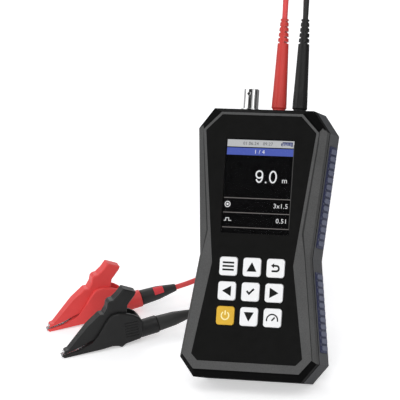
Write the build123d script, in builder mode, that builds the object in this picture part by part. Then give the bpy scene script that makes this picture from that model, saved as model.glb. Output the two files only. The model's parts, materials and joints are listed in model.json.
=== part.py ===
from build123d import *
import os
from math import atan2, cos, degrees, pi, radians, sin, tan

os.makedirs("parts", exist_ok=True)

# Cable length meter on its tilt stand, with a pair of clip leads plugged in.
# All lengths are millimetres and all angles degrees. The meter is drawn lying on its back: X to
# its right, Y along it from the bottom end and Z out of its face. METER then leans it back on its stand.

# How the meter stands
LEAN = 30.0
STAND_ANGLE = 45.0

# Case: an hourglass with cut corners, in two shells
LENGTH = 167.0
DEPTH = 31.0
TOP_HALF = 41.75
WAIST_HALF = 35.6
BOTTOM_HALF = 44.3
WAIST_HEIGHT = 76.1
TOP_CORNER_WIDTH = 9.5
TOP_CORNER_HEIGHT = 12.8
BOTTOM_CORNER_WIDTH = 9.5
BOTTOM_CORNER_HEIGHT = 12.0
FRONT_DEPTH = 8.5
FACET_DEPTH = 3.5
FACET_RISE = 14.5
FACE_INSET = 2.5
FACE_BOTTOM = 4.9
FACE_CORNER_WIDTH = 7.6
FACE_CORNER_HEIGHT = 8.9
FRONT_WALL = 2.0
SIDE_WALL = 2.4
BACK_WALL = 3.0
BACK_CHAMFER = 2.0
GROOVE_WIDTH = 0.8
GROOVE_DEPTH = 0.8
CAVITY_INSET = 1.5
PARTING = DEPTH - FRONT_DEPTH
CAVITY_TOP = DEPTH - FRONT_WALL
FACET_END = WAIST_HEIGHT + FACET_RISE

# Black face panel, let into the front shell
PANEL_THICK = 0.8
PANEL_FIT = 0.1
RIM = 1.6
PANEL_TOP_MARGIN = 4.1
PANEL_BOTTOM = 10.2
PANEL_TOP_INSET = 6.05
PANEL_WAIST_INSET = 9.4
PANEL_BOTTOM_INSET = 8.5
PANEL_WAIST_DROP = 5.2
PANEL_TOP_CORNER = 10.1
PANEL_BOTTOM_CORNER = 4.0
PANEL_TOP = LENGTH - PANEL_TOP_MARGIN
PANEL_TOP_HALF = TOP_HALF - PANEL_TOP_INSET
PANEL_WAIST_HALF = WAIST_HALF - PANEL_WAIST_INSET
PANEL_BOTTOM_HALF = BOTTOM_HALF - PANEL_BOTTOM_INSET
PANEL_WAIST_HEIGHT = WAIST_HEIGHT - PANEL_WAIST_DROP
CAVITY_LOW = PANEL_BOTTOM + CAVITY_INSET
CAVITY_HIGH = PANEL_TOP - CAVITY_INSET

# Display and the clear lens in front of it
SCREEN_WIDTH = 43.2
SCREEN_HEIGHT = 57.6
LENS_BORDER = 0.5
LENS_CORNER = 0.8
LENS_FIT = 0.1
SCREEN_GAP = 0.5
FRAME_BORDER = 3.2
FRAME_GAP = 0.1
GLASS_FIT = 0.3

# Main board, carried by four bosses of the front shell
BOARD_SIDE_GAP = 1.2
BOARD_END_GAP = 2.9
BOARD_THICK = 1.6
BOARD_DROP = 2.7
BOARD_BOSS_RADIUS = 2.2
BOARD_BOSS_GAP = 0.35
BOARD_SCREW_INSET = 5.0
BOARD_SCREW_RADIUS = 1.0
BOARD_SCREW_LENGTH = 4.0
BOARD_HEAD_RADIUS = 1.9
BOARD_HEAD_HEIGHT = 1.4
SCREW_FIT = 0.05
BOARD_TOP = CAVITY_TOP - BOARD_DROP
BOARD_WIDTH = 2 * (PANEL_WAIST_HALF - CAVITY_INSET - BOARD_SIDE_GAP)
BOARD_BOTTOM = CAVITY_LOW + BOARD_END_GAP
BOARD_LENGTH = CAVITY_HIGH - BOARD_END_GAP - BOARD_BOTTOM

# Keys: three rows of three, each a cap with a flange behind the wall and a pusher over a snap dome
KEY_SIZE = 11.5
KEY_PITCH = 15.25
KEY_CORNER = 1.8
KEY_PROUD = 0.7
KEY_EDGE = 0.3
KEY_FIT = 0.25
KEY_FLANGE = 0.85
KEY_FLANGE_THICK = 0.7
KEY_FLANGE_GAP = 0.1
KEY_TRAVEL = 0.5
KEY_BOTTOM_GAP = 0.1
KEY_REST_GAP = KEY_TRAVEL + KEY_BOTTOM_GAP
PUSHER_RADIUS = 2.0
DOME_RADIUS = 3.0
DOME_HEIGHT = 0.5
KEY_NAMES = [
    ["power_key", "down_key", "measure_key"],
    ["left_key", "enter_key", "right_key"],
    ["menu_key", "up_key", "back_key"],
]

# Up the face come the lower board screws, the keys, the upper board screws and the display. Each row of
# screws keeps room for its bosses, and the rest of the length is shared out below, between and above.
BELOW_KEYS_SHARE = 0.476
ABOVE_SCREEN_SHARE = 0.328
BOSS_ROOM = KEY_FLANGE + 2 * (BOARD_BOSS_RADIUS + BOARD_BOSS_GAP)
FRAME_HEIGHT = SCREEN_HEIGHT + 2 * FRAME_BORDER
KEYS_HEIGHT = 2 * KEY_PITCH + KEY_SIZE
SPARE = CAVITY_HIGH - CAVITY_LOW - FRAME_HEIGHT - KEYS_HEIGHT - 2 * BOSS_ROOM
KEYS_LOW = CAVITY_LOW + BOSS_ROOM + BELOW_KEYS_SHARE * SPARE
KEY_MIDDLE = KEYS_LOW + KEYS_HEIGHT / 2
SCREEN_MIDDLE = CAVITY_HIGH - ABOVE_SCREEN_SHARE * SPARE - FRAME_HEIGHT / 2
LOWER_SCREWS = (BOARD_BOTTOM + KEYS_LOW - KEY_FLANGE) / 2
UPPER_SCREWS = (KEYS_LOW + KEYS_HEIGHT + KEY_FLANGE + SCREEN_MIDDLE - FRAME_HEIGHT / 2) / 2
BOARD_SPOTS = [
    (side * (BOARD_WIDTH / 2 - BOARD_SCREW_INSET), height)
    for height in (LOWER_SCREWS, UPPER_SCREWS)
    for side in (-1, 1)
]

# Screws that hold the two shells together, driven from the back
CASE_SCREW_RADIUS = 1.5
CASE_SCREW_REACH = 5.0
CASE_HEAD_RADIUS = 2.8
CASE_HEAD_HEIGHT = 2.2
CASE_HEAD_SUNK = 3.0
CASE_HEAD_FIT = 0.3
CASE_BOSS_RADIUS = 3.6
CASE_SCREW_RISE = 8.0
CASE_SCREW_INSET = 5.4
DRIVE_WIDTH = 0.9
DRIVE_LENGTH = 3.4
DRIVE_DEPTH = 1.0

# Sockets in the top end, as deep in the rear shell as the share of its spare depth says
SOCKET_RADIUS = 6.0
SOCKET_PROUD = 0.3
SOCKET_LENGTH = 18.0
SOCKET_FLOOR = 2.5
SOCKET_FIT = 0.05
SOCKET_LEVEL_SHARE = 0.746
SOCKET_SPARE = PARTING - GROOVE_WIDTH - BACK_WALL - 2 * SOCKET_RADIUS
SOCKET_LEVEL = BACK_WALL + SOCKET_RADIUS + SOCKET_LEVEL_SHARE * SOCKET_SPARE
RED_PLACE = 5.1
BLACK_PLACE = 18.6

# Battery behind the display, under a screwed cover in the back
BATTERY_WIDTH = 40.0
BATTERY_HEIGHT = 38.0
BATTERY_THICK = 10.0
COVER_WIDTH = 50.0
COVER_HEIGHT = 48.0
COVER_THICK = 1.6
COVER_SOCKET_GAP = 1.0
COVER_LEDGE = 2.0
COVER_CORNER = 3.0
COVER_FIT = 0.2
COVER_SCREW_RADIUS = 1.25
COVER_SCREW_LENGTH = 4.4
COVER_HEAD_RADIUS = 2.3
COVER_HEAD_HEIGHT = 1.0
COVER_TAB = 9.0
COVER_BOSS_GAP = 0.4
FOAM_GAP = 0.3
COVER_MIDDLE = LENGTH - SOCKET_LENGTH - COVER_SOCKET_GAP - COVER_TAB - COVER_HEIGHT / 2

# Tilt stand in a pocket of the back
STAND_HALF = 14.5
STAND_FOOT_HALF = 11.5
STAND_THICK = 3.2
STAND_RECESS = 0.8
STAND_BORDER = 3.5
STAND_BARREL = 1.9
STAND_SIDE_GAP = 0.4
STAND_FINGER_ROOM = 3.5
STAND_END_ROOM = 3.0
HINGE_DROP = 13.0
HINGE_HEIGHT = COVER_MIDDLE - COVER_HEIGHT / 2 - HINGE_DROP
HINGE_LEVEL = 2.0
STAND_PIN_RADIUS = 1.1
STAND_PIN_BITE = 3.0
PIN_FIT = 0.05
POCKET_FLOOR_GAP = 0.3
POCKET_WALL = 1.6
POCKET_SIDE = 4.5

# Ribbed grips let into the sides of the rear shell
GRIP_BACK_MARGIN = 2.5
GRIP_FRONT_MARGIN = 3.2
GRIP_SUNK = 0.8
GRIP_PROUD = 0.5
GRIP_CORNER = 1.5
GRIP_FIT = 0.05
GRIP_END_MARGIN = 7.5
RIB_PITCH = 4.4
RIB_WIDTH = 3.0
RIB_MARGIN = 1.4
RIB_HEIGHT = 0.8
RIB_CORNER = 1.3
GRIP_BACK = BACK_CHAMFER + GRIP_BACK_MARGIN
GRIP_FRONT = PARTING - GROOVE_WIDTH - GRIP_FRONT_MARGIN
GRIP_WIDTH = GRIP_FRONT - GRIP_BACK
GRIP_LEVEL = (GRIP_FRONT + GRIP_BACK) / 2

# Coaxial jack beside the sockets
COAX_PLACE = -13.4
COAX_RADIUS = 4.8
COAX_HEIGHT = 14.0
COAX_BORE = 4.1
COAX_BORE_DEPTH = 12.0
COAX_FLANGE_RADIUS = 6.2
COAX_FLANGE_HEIGHT = 1.4
COAX_SHANK_RADIUS = 4.5
COAX_SHANK_LENGTH = 14.0
COAX_NUT_RADIUS = 6.4
COAX_NUT_THICK = 2.2
COAX_LUG_RADIUS = 1.0
COAX_LUG_PROUD = 0.9
COAX_LUG_HEIGHT = 10.6
COAX_MOUTH_CHAMFER = 0.4
INSULATOR_RADIUS = 2.4
INSULATOR_HEIGHT = 8.0
CONTACT_RADIUS = 0.7
CONTACT_HEIGHT = 9.5

# Plugs at the meter's end of the leads
PLUG_NECK_RADIUS = 3.9
PLUG_NECK_LENGTH = 14.0
PLUG_NECK_FIT = 0.05
PLUG_BASE_RADIUS = 4.7
PLUG_TOP_RADIUS = 3.5
PLUG_BODY_LENGTH = 40.0
PLUG_LIFT = 1.7
PLUG_BASE_ROUND = 0.6
RELIEF_LENGTH = 16.5
RELIEF_TOP_RADIUS = 2.5
RELIEF_WEB_HALF = 1.5
RELIEF_BITES = 5
RELIEF_BITE_SHARE = 0.36
FLUTE_COUNT = 12
FLUTE_WIDTH = 0.9
FLUTE_DEPTH = 0.35
FLUTE_START = 2.5
FLUTE_END = 24.0

# Leads: each leaves its plug straight, arches over behind the meter, comes down to the surface that
# the meter stands on and runs there to its clip. The routes between the straight ends are placed points.
LEAD_DIAMETER = 3.4
LEAD_STRAIGHT = 20.0
CLIP_STRAIGHT = 13.0
BEND_SHARE = 0.45
LEAD_ROUTES = {
    "red": [
        (2, 100, 235), (-5, 127, 239), (-16, 154, 226), (-26, 170, 200), (-32, 172, 167), (-36, 167, 134),
        (-40, 161, 105), (-44, 158, 75), (-47, 156, 47), (-50, 150, 22), (-54, 138, 6), (-57, 122, 1.8),
        (-60, 106, 3), (-67, 91, 9.5),
    ],
    "black": [
        (16, 99, 233), (8, 123, 235), (-2, 148, 220), (-10, 160, 196), (-15, 161, 166), (-19, 156, 134),
        (-23, 151, 105), (-27, 148, 76), (-29, 145, 48), (-30, 138, 23), (-29, 124.5, 7), (-28, 107, 1.8),
        (-29.5, 89, 1.8), (-34.5, 72, 3), (-43, 57, 9),
    ],
}

# Spring clips, drawn from the side: X from the jaw tips to the rear, Z up, Y across
CLIP_LENGTH = 54.4
CLIP_HEIGHT = 39.3
CLIP_HALF = 6.3
CLIP_TIP_HALF = 2.4
CLIP_JAW_HALF = 3.9
CLIP_SIDE_GAP = 0.3
CLIP_FULL_SHARE = 0.56
CLIP_EDGE = 0.6
CLIP_PIVOT_SHARES = (0.671, 0.369)
CLIP_PIN_RADIUS = 1.5
CLIP_PIN_COVER = 0.8
CLIP_SLOT_RADIUS = 7.3
SPRING_POCKET_RADIUS = 4.6
SPRING_POCKET_HALF = 2.3
SPRING_RADIUS = 3.4
SPRING_BORE = 1.9
SPRING_HALF = 2.0
SPRING_LEG = 0.9
CONTACT_HALF = 1.8
CONTACT_THICK = 1.0
CONTACT_TEETH = 9
CONTACT_TOOTH = 0.35
CONTACT_REACH_SHARE = 0.31
CONTACT_FIT = 0.05
CLIP_NECK_RADIUS = 5.7
CLIP_NECK_LENGTH = 10.4
CLIP_NECK_BORE = 4.1
CLIP_NECK_SLOPE = 4.5
CLIP_NECK_LEVEL_SHARE = 0.183
CLIP_NECK_INSIDE = 1.5
CLIP_TURN = 35.4
CLIP_RIB_COUNT = 6
CLIP_RIB_DEPTH = 0.4
CLIP_RIB_WIDTH = 0.9
CLIP_RIB_PITCH = 1.9
CLIP_RIB_LENGTH = 9.0
CLIP_RIB_SHARES = (0.86, 0.29)
RED_CLIP_PLACE = (-162.1, 20.0)
BLACK_CLIP_PLACE = (-138.6, -14.6)

# Outlines of the clip, in shares of its length and height
BODY_SHARES = [
    (0.024, 0.0), (0.607, 0.051), (0.675, 0.033), (0.717, 0.0), (0.775, 0.046),
    (0.949, 0.079), (0.982, 0.125), (1.0, 0.387), (0.96, 0.463), (0.908, 0.519), (0.838, 0.565),
    (0.732, 0.606), (0.658, 0.6), (0.618, 0.57), (0.555, 0.478), (0.467, 0.313), (0.397, 0.209),
    (0.368, 0.176), (0.202, 0.079), (0.0, 0.038),
]
JAW_SHARES = [
    (0.026, 0.069), (0.176, 0.115), (0.368, 0.204), (0.57, 0.254), (0.671, 0.214), (0.772, 0.285),
    (0.79, 0.42), (0.835, 0.55), (0.844, 0.626), (0.855, 0.697), (0.956, 0.843),
    (0.974, 0.893), (0.829, 1.0), (0.761, 0.903), (0.695, 0.837), (0.649, 0.83), (0.621, 0.799),
    (0.603, 0.715), (0.557, 0.626), (0.515, 0.629), (0.355, 0.476), (0.088, 0.13),
    (0.048, 0.12),
]
SLOT_SHARES = [
    (0.342, 0.158), (0.515, 0.209), (0.8, 0.26), (0.882, 0.369), (0.974, 0.471), (1.066, 0.814),
    (0.22, 0.814),
]

# Gray plugs in the clips
CLIP_PLUG_NECK = 6.0
CLIP_PLUG_RADIUS = 5.1
CLIP_PLUG_MIDDLE_RADIUS = 4.5
CLIP_PLUG_END_RADIUS = 2.4
CLIP_PLUG_STRAIGHT = 12.0
CLIP_PLUG_LENGTH = 24.4
CLIP_PLUG_GAP = 0.1
CLIP_PLUG_ROUND = 0.6

# One overrun serves every cut
OVERRUN = 1.0


def both_sides(right_half):
    """The right half of an outline, from its top to its bottom, with its mirror image."""
    return right_half + [(-x, y) for x, y in reversed(right_half)]


def fill(points):
    """A closed straight-sided face in the sketch that is being drawn."""
    Polygon(*points, align=None)


def along_side(low, high, height):
    """How far out the straight edge between two corners is at a height."""
    share = (height - low[1]) / (high[1] - low[1])
    return low[0] + share * (high[0] - low[0])


CASE_WAIST = (WAIST_HALF, WAIST_HEIGHT)
CASE_SHOULDER = (TOP_HALF, LENGTH - TOP_CORNER_HEIGHT)
CASE_HIP = (BOTTOM_HALF, BOTTOM_CORNER_HEIGHT)
CASE_HALF = [
    (TOP_HALF - TOP_CORNER_WIDTH, LENGTH),
    CASE_SHOULDER,
    CASE_WAIST,
    CASE_HIP,
    (BOTTOM_HALF - BOTTOM_CORNER_WIDTH, 0),
]
FACET_HALF = CASE_HALF[:2] + [(along_side(CASE_WAIST, CASE_SHOULDER, FACET_END), FACET_END)] + CASE_HALF[2:]

# The case screws stand a little way in from the sides, near the hips and the shoulders
LOWER_CASE_SCREWS = CASE_HIP[1] + CASE_SCREW_RISE
UPPER_CASE_SCREWS = CASE_SHOULDER[1] - CASE_SCREW_RISE
CASE_SPOTS = both_sides([
    (along_side(CASE_WAIST, CASE_SHOULDER, UPPER_CASE_SCREWS) - CASE_SCREW_INSET, UPPER_CASE_SCREWS),
    (along_side(CASE_HIP, CASE_WAIST, LOWER_CASE_SCREWS) - CASE_SCREW_INSET, LOWER_CASE_SCREWS),
])

PANEL_WAIST = (PANEL_WAIST_HALF, PANEL_WAIST_HEIGHT)
PANEL_SHOULDER = (PANEL_TOP_HALF, PANEL_TOP - PANEL_TOP_CORNER)
PANEL_HALF = [
    (PANEL_TOP_HALF - PANEL_TOP_CORNER, PANEL_TOP),
    PANEL_SHOULDER,
    PANEL_WAIST,
    (PANEL_BOTTOM_HALF, PANEL_BOTTOM + PANEL_BOTTOM_CORNER),
    (PANEL_BOTTOM_HALF - PANEL_BOTTOM_CORNER, PANEL_BOTTOM),
]
RIM_CORNER = RIM * tan(radians(45 / 2))
FACE_HALF = [
    (PANEL_HALF[0][0] + RIM_CORNER, PANEL_TOP + RIM),
    (PANEL_TOP_HALF + RIM, PANEL_SHOULDER[1] + RIM_CORNER),
    (along_side(PANEL_WAIST, PANEL_SHOULDER, FACET_END) + RIM, FACET_END),
    (WAIST_HALF - FACE_INSET, WAIST_HEIGHT),
    (BOTTOM_HALF - FACE_INSET, FACE_BOTTOM + FACE_CORNER_HEIGHT),
    (BOTTOM_HALF - FACE_INSET - FACE_CORNER_WIDTH, FACE_BOTTOM),
]


def case_face(points, inset):
    """A case outline drawn in by an inset, in the sketch that is being drawn."""
    fill(both_sides(points))
    if inset:
        offset(amount=-inset, kind=Kind.INTERSECTION, mode=Mode.REPLACE)


def key_spots():
    """The name and the middle of each key."""
    for row, names in enumerate(KEY_NAMES):
        for column, name in enumerate(names):
            yield name, (column - 1) * KEY_PITCH, KEY_MIDDLE + (row - 1) * KEY_PITCH


def grip_plane(low, high, side):
    """A plane on a straight side of the case: X up the side, Z out of it, at the middle of the grips."""
    run = Vector(high[0] - low[0], high[1] - low[1]).normalized()
    middle = Vector(low[0] + high[0], low[1] + high[1]) / 2
    return Plane(
        origin=(side * middle.X, middle.Y, GRIP_LEVEL),
        x_dir=(side * run.X, run.Y, 0),
        z_dir=(side * run.Y, -run.X, 0),
    )


def grip_length(low, high):
    """A grip stops short of the corners at both ends of its side."""
    return Vector(high[0] - low[0], high[1] - low[1]).length - 2 * GRIP_END_MARGIN


GRIP_SIDES = {"upper": (CASE_WAIST, CASE_SHOULDER), "lower": (CASE_HIP, CASE_WAIST)}
SIDES = {"left": -1, "right": 1}

# The stand reaches from its hinge to the surface that the meter's lower back edge rests on
SLOPE = 90 - LEAN
CONTACT_LIFT = BACK_CHAMFER * cos(radians(SLOPE))
HINGE_LIFT = HINGE_HEIGHT * sin(radians(SLOPE)) + HINGE_LEVEL * cos(radians(SLOPE))
STAND_LENGTH = (HINGE_LIFT - CONTACT_LIFT - STAND_THICK / 2) / sin(radians(SLOPE + STAND_ANGLE))
STAND_PLANE = Plane(
    origin=(0, HINGE_HEIGHT, HINGE_LEVEL),
    x_dir=(1, 0, 0),
    z_dir=(0, sin(radians(STAND_ANGLE)), -cos(radians(STAND_ANGLE))),
)
POCKET_DEPTH = HINGE_LEVEL + max(STAND_BARREL, STAND_THICK / 2) + POCKET_FLOOR_GAP
POCKET_HALF = STAND_HALF + STAND_SIDE_GAP
POCKET_TOP = HINGE_HEIGHT + STAND_END_ROOM
POCKET_BOTTOM = HINGE_HEIGHT - STAND_LENGTH - STAND_THICK / 2 - STAND_FINGER_ROOM
POCKET_MIDDLE = (POCKET_TOP + POCKET_BOTTOM) / 2
POCKET_LENGTH = POCKET_TOP - POCKET_BOTTOM
COVER_BOSS_HEIGHT = COVER_HEAD_HEIGHT + COVER_SCREW_LENGTH + COVER_BOSS_GAP - BACK_WALL
COVER_SCREW_SPOT = (0, COVER_MIDDLE + COVER_HEIGHT / 2 + COVER_TAB / 2)
LENS_WIDTH = SCREEN_WIDTH + 2 * LENS_BORDER
LENS_HEIGHT = SCREEN_HEIGHT + 2 * LENS_BORDER
TOP_PLANE = Plane(origin=(0, LENGTH, SOCKET_LEVEL), x_dir=(1, 0, 0), z_dir=(0, 1, 0))

meter_pieces = []


def keep(builder, name):
    """Label a finished piece of the meter, to be stood on its stand with the others."""
    builder.part.label = name
    meter_pieces.append(builder.part)


# Front shell: a lip, the sloping facets, and the flat face with the panel's recess
with BuildPart() as front_shell:
    with BuildSketch(Plane.XY.offset(PARTING)):
        case_face(FACET_HALF, 0)
    extrude(amount=FRONT_DEPTH - FACET_DEPTH)
    with BuildSketch(Plane.XY.offset(DEPTH - FACET_DEPTH)):
        case_face(FACET_HALF, 0)
    with BuildSketch(Plane.XY.offset(DEPTH)):
        case_face(FACE_HALF, 0)
    loft(ruled=True)
    with BuildSketch(Plane.XY.offset(DEPTH - PANEL_THICK)):
        case_face(PANEL_HALF, -PANEL_FIT)
    extrude(amount=PANEL_THICK + OVERRUN, mode=Mode.SUBTRACT)
    with BuildSketch(Plane.XY.offset(PARTING - OVERRUN)):
        case_face(PANEL_HALF, CAVITY_INSET)
    extrude(amount=FRONT_DEPTH - FRONT_WALL + OVERRUN, mode=Mode.SUBTRACT)
    with BuildSketch(Plane.XY.offset(PARTING)):
        with Locations(*CASE_SPOTS):
            Circle(CASE_BOSS_RADIUS)
    extrude(amount=FRONT_DEPTH - FRONT_WALL)
    with BuildSketch(Plane.XY.offset(BOARD_TOP)):
        with Locations(*BOARD_SPOTS):
            Circle(BOARD_BOSS_RADIUS)
    extrude(amount=BOARD_DROP)
    with BuildSketch(Plane.XY.offset(PARTING - OVERRUN)):
        with Locations(*CASE_SPOTS):
            Circle(CASE_SCREW_RADIUS + SCREW_FIT)
    extrude(amount=CASE_SCREW_REACH + 2 * OVERRUN, mode=Mode.SUBTRACT)
    with BuildSketch(Plane.XY.offset(BOARD_TOP - OVERRUN)):
        with Locations(*BOARD_SPOTS):
            Circle(BOARD_SCREW_RADIUS + SCREW_FIT)
    extrude(amount=BOARD_DROP + OVERRUN, mode=Mode.SUBTRACT)
    with BuildSketch(Plane.XY.offset(CAVITY_TOP - OVERRUN)):
        with Locations((0, SCREEN_MIDDLE)):
            Rectangle(LENS_WIDTH + 2 * GLASS_FIT, LENS_HEIGHT + 2 * GLASS_FIT)
        with Locations(*[(x, y) for _, x, y in key_spots()]):
            RectangleRounded(KEY_SIZE + 2 * KEY_FIT, KEY_SIZE + 2 * KEY_FIT, KEY_CORNER + KEY_FIT)
    extrude(amount=FRONT_WALL + 2 * OVERRUN, mode=Mode.SUBTRACT)
keep(front_shell, "front_shell")

# Rear shell: a deep tray with a shadow groove at its rim, pockets for the stand and grips, and bosses
with BuildPart() as rear_shell:
    with BuildSketch():
        case_face(CASE_HALF, 0)
    extrude(amount=PARTING - GROOVE_WIDTH)
    chamfer(rear_shell.faces().sort_by(Axis.Z)[0].edges(), length=BACK_CHAMFER)
    with BuildSketch(Plane.XY.offset(PARTING - GROOVE_WIDTH)):
        case_face(CASE_HALF, GROOVE_DEPTH)
    extrude(amount=GROOVE_WIDTH)
    with BuildSketch(Plane.XY.offset(BACK_WALL)):
        case_face(CASE_HALF, SIDE_WALL)
    extrude(amount=PARTING - BACK_WALL + OVERRUN, mode=Mode.SUBTRACT)
    with BuildSketch(Plane.XY.offset(BACK_WALL)):
        with Locations((0, POCKET_MIDDLE)):
            Rectangle(2 * (POCKET_HALF + POCKET_SIDE), POCKET_LENGTH + 2 * POCKET_WALL)
    extrude(amount=POCKET_DEPTH + POCKET_WALL - BACK_WALL)
    with BuildSketch(Plane.XY.offset(BACK_WALL)):
        with Locations(*CASE_SPOTS):
            Circle(CASE_BOSS_RADIUS)
    extrude(amount=PARTING - BACK_WALL)
    with BuildSketch(Plane.XY.offset(BACK_WALL)):
        with Locations(COVER_SCREW_SPOT):
            Circle(COVER_TAB / 2)
    extrude(amount=COVER_BOSS_HEIGHT)
    with BuildSketch(Plane.XY.offset(-OVERRUN)):
        with Locations((0, POCKET_MIDDLE)):
            Rectangle(2 * POCKET_HALF, POCKET_LENGTH)
    extrude(amount=POCKET_DEPTH + OVERRUN, mode=Mode.SUBTRACT)
    with BuildSketch(Plane.XY.offset(-OVERRUN)):
        with Locations((0, COVER_MIDDLE)):
            RectangleRounded(
                COVER_WIDTH + 2 * COVER_FIT, COVER_HEIGHT + 2 * COVER_FIT, COVER_CORNER + COVER_FIT
            )
        with Locations(COVER_SCREW_SPOT):
            Rectangle(COVER_TAB + 2 * COVER_FIT, COVER_TAB + 2 * COVER_FIT)
    extrude(amount=COVER_THICK + OVERRUN, mode=Mode.SUBTRACT)
    with BuildSketch(Plane.XY.offset(-OVERRUN)):
        with Locations((0, COVER_MIDDLE)):
            Rectangle(COVER_WIDTH - 2 * COVER_LEDGE, COVER_HEIGHT - 2 * COVER_LEDGE)
    extrude(amount=BACK_WALL + 2 * OVERRUN, mode=Mode.SUBTRACT)
    with BuildSketch(Plane.XY.offset(-OVERRUN)):
        with Locations(COVER_SCREW_SPOT):
            Circle(COVER_SCREW_RADIUS + SCREW_FIT)
    extrude(amount=COVER_SCREW_LENGTH + 2 * OVERRUN, mode=Mode.SUBTRACT)
    with BuildSketch(Plane.XY.offset(-OVERRUN)):
        with Locations(*CASE_SPOTS):
            Circle(CASE_SCREW_RADIUS + SCREW_FIT)
    extrude(amount=PARTING + 2 * OVERRUN, mode=Mode.SUBTRACT)
    with BuildSketch(Plane.XY.offset(-OVERRUN)):
        with Locations(*CASE_SPOTS):
            Circle(CASE_HEAD_RADIUS + CASE_HEAD_FIT)
    extrude(amount=CASE_HEAD_SUNK + OVERRUN, mode=Mode.SUBTRACT)
    with BuildSketch(Plane.YZ.offset(-POCKET_HALF - STAND_PIN_BITE)):
        with Locations((HINGE_HEIGHT, HINGE_LEVEL)):
            Circle(STAND_PIN_RADIUS + PIN_FIT)
    extrude(amount=2 * (POCKET_HALF + STAND_PIN_BITE), mode=Mode.SUBTRACT)
    for low, high in GRIP_SIDES.values():
        for side in SIDES.values():
            with BuildSketch(grip_plane(low, high, side).offset(-GRIP_SUNK)):
                RectangleRounded(
                    grip_length(low, high) + 2 * GRIP_FIT, GRIP_WIDTH + 2 * GRIP_FIT, GRIP_CORNER + GRIP_FIT
                )
            extrude(amount=GRIP_SUNK + OVERRUN, mode=Mode.SUBTRACT)
    with BuildSketch(TOP_PLANE.offset(OVERRUN)):
        with Locations((COAX_PLACE, 0)):
            Circle(COAX_SHANK_RADIUS + SOCKET_FIT)
        with Locations((RED_PLACE, 0), (BLACK_PLACE, 0)):
            Circle(SOCKET_RADIUS + SOCKET_FIT)
    extrude(amount=-SIDE_WALL - 2 * OVERRUN, mode=Mode.SUBTRACT)
keep(rear_shell, "rear_shell")

# Face panel with a window and nine key openings, and the lens that fills the window
with BuildPart() as face_panel:
    with BuildSketch(Plane.XY.offset(DEPTH - PANEL_THICK)):
        case_face(PANEL_HALF, 0)
        with Locations((0, SCREEN_MIDDLE)):
            RectangleRounded(
                LENS_WIDTH + 2 * LENS_FIT,
                LENS_HEIGHT + 2 * LENS_FIT,
                LENS_CORNER + LENS_FIT,
                mode=Mode.SUBTRACT,
            )
        with Locations(*[(x, y) for _, x, y in key_spots()]):
            RectangleRounded(
                KEY_SIZE + 2 * KEY_FIT, KEY_SIZE + 2 * KEY_FIT, KEY_CORNER + KEY_FIT, mode=Mode.SUBTRACT
            )
    extrude(amount=PANEL_THICK)
keep(face_panel, "face_panel")

with BuildPart() as display_lens:
    with BuildSketch(Plane.XY.offset(DEPTH - PANEL_THICK)):
        with Locations((0, SCREEN_MIDDLE)):
            RectangleRounded(LENS_WIDTH, LENS_HEIGHT, LENS_CORNER)
    extrude(amount=PANEL_THICK)
keep(display_lens, "display_lens")

# Display module: a frame on the board with its glass raised into the window
with BuildPart() as display_module:
    with BuildSketch(Plane.XY.offset(BOARD_TOP)):
        with Locations((0, SCREEN_MIDDLE)):
            Rectangle(SCREEN_WIDTH + 2 * FRAME_BORDER, SCREEN_HEIGHT + 2 * FRAME_BORDER)
    extrude(amount=BOARD_DROP - FRAME_GAP)
    with BuildSketch(Plane.XY.offset(CAVITY_TOP - FRAME_GAP)):
        with Locations((0, SCREEN_MIDDLE)):
            Rectangle(SCREEN_WIDTH + 2 * LENS_BORDER, SCREEN_HEIGHT + 2 * LENS_BORDER)
    extrude(amount=FRONT_WALL - PANEL_THICK - SCREEN_GAP + FRAME_GAP)
keep(display_module, "display_module")

# Main board with its screws and snap domes
with BuildPart() as main_board:
    with BuildSketch(Plane.XY.offset(BOARD_TOP)):
        with Locations((0, BOARD_BOTTOM + BOARD_LENGTH / 2)):
            Rectangle(BOARD_WIDTH, BOARD_LENGTH)
        with Locations(*BOARD_SPOTS):
            Circle(BOARD_SCREW_RADIUS + SCREW_FIT, mode=Mode.SUBTRACT)
    extrude(amount=-BOARD_THICK)
keep(main_board, "main_board")

with BuildPart() as board_screws:
    with BuildSketch(Plane.XY.offset(BOARD_TOP - BOARD_THICK)):
        with Locations(*BOARD_SPOTS):
            Circle(BOARD_HEAD_RADIUS)
    extrude(amount=-BOARD_HEAD_HEIGHT)
    with BuildSketch(Plane.XY.offset(BOARD_TOP - BOARD_THICK)):
        with Locations(*BOARD_SPOTS):
            Circle(BOARD_SCREW_RADIUS)
    extrude(amount=BOARD_SCREW_LENGTH)
keep(board_screws, "board_screws")

with BuildPart() as snap_domes:
    with BuildSketch(Plane.XY.offset(BOARD_TOP)):
        with Locations(*[(x, y) for _, x, y in key_spots()]):
            Circle(DOME_RADIUS)
    extrude(amount=DOME_HEIGHT, taper=degrees(atan2(PUSHER_RADIUS / 2, DOME_HEIGHT)))
keep(snap_domes, "snap_domes")

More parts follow.
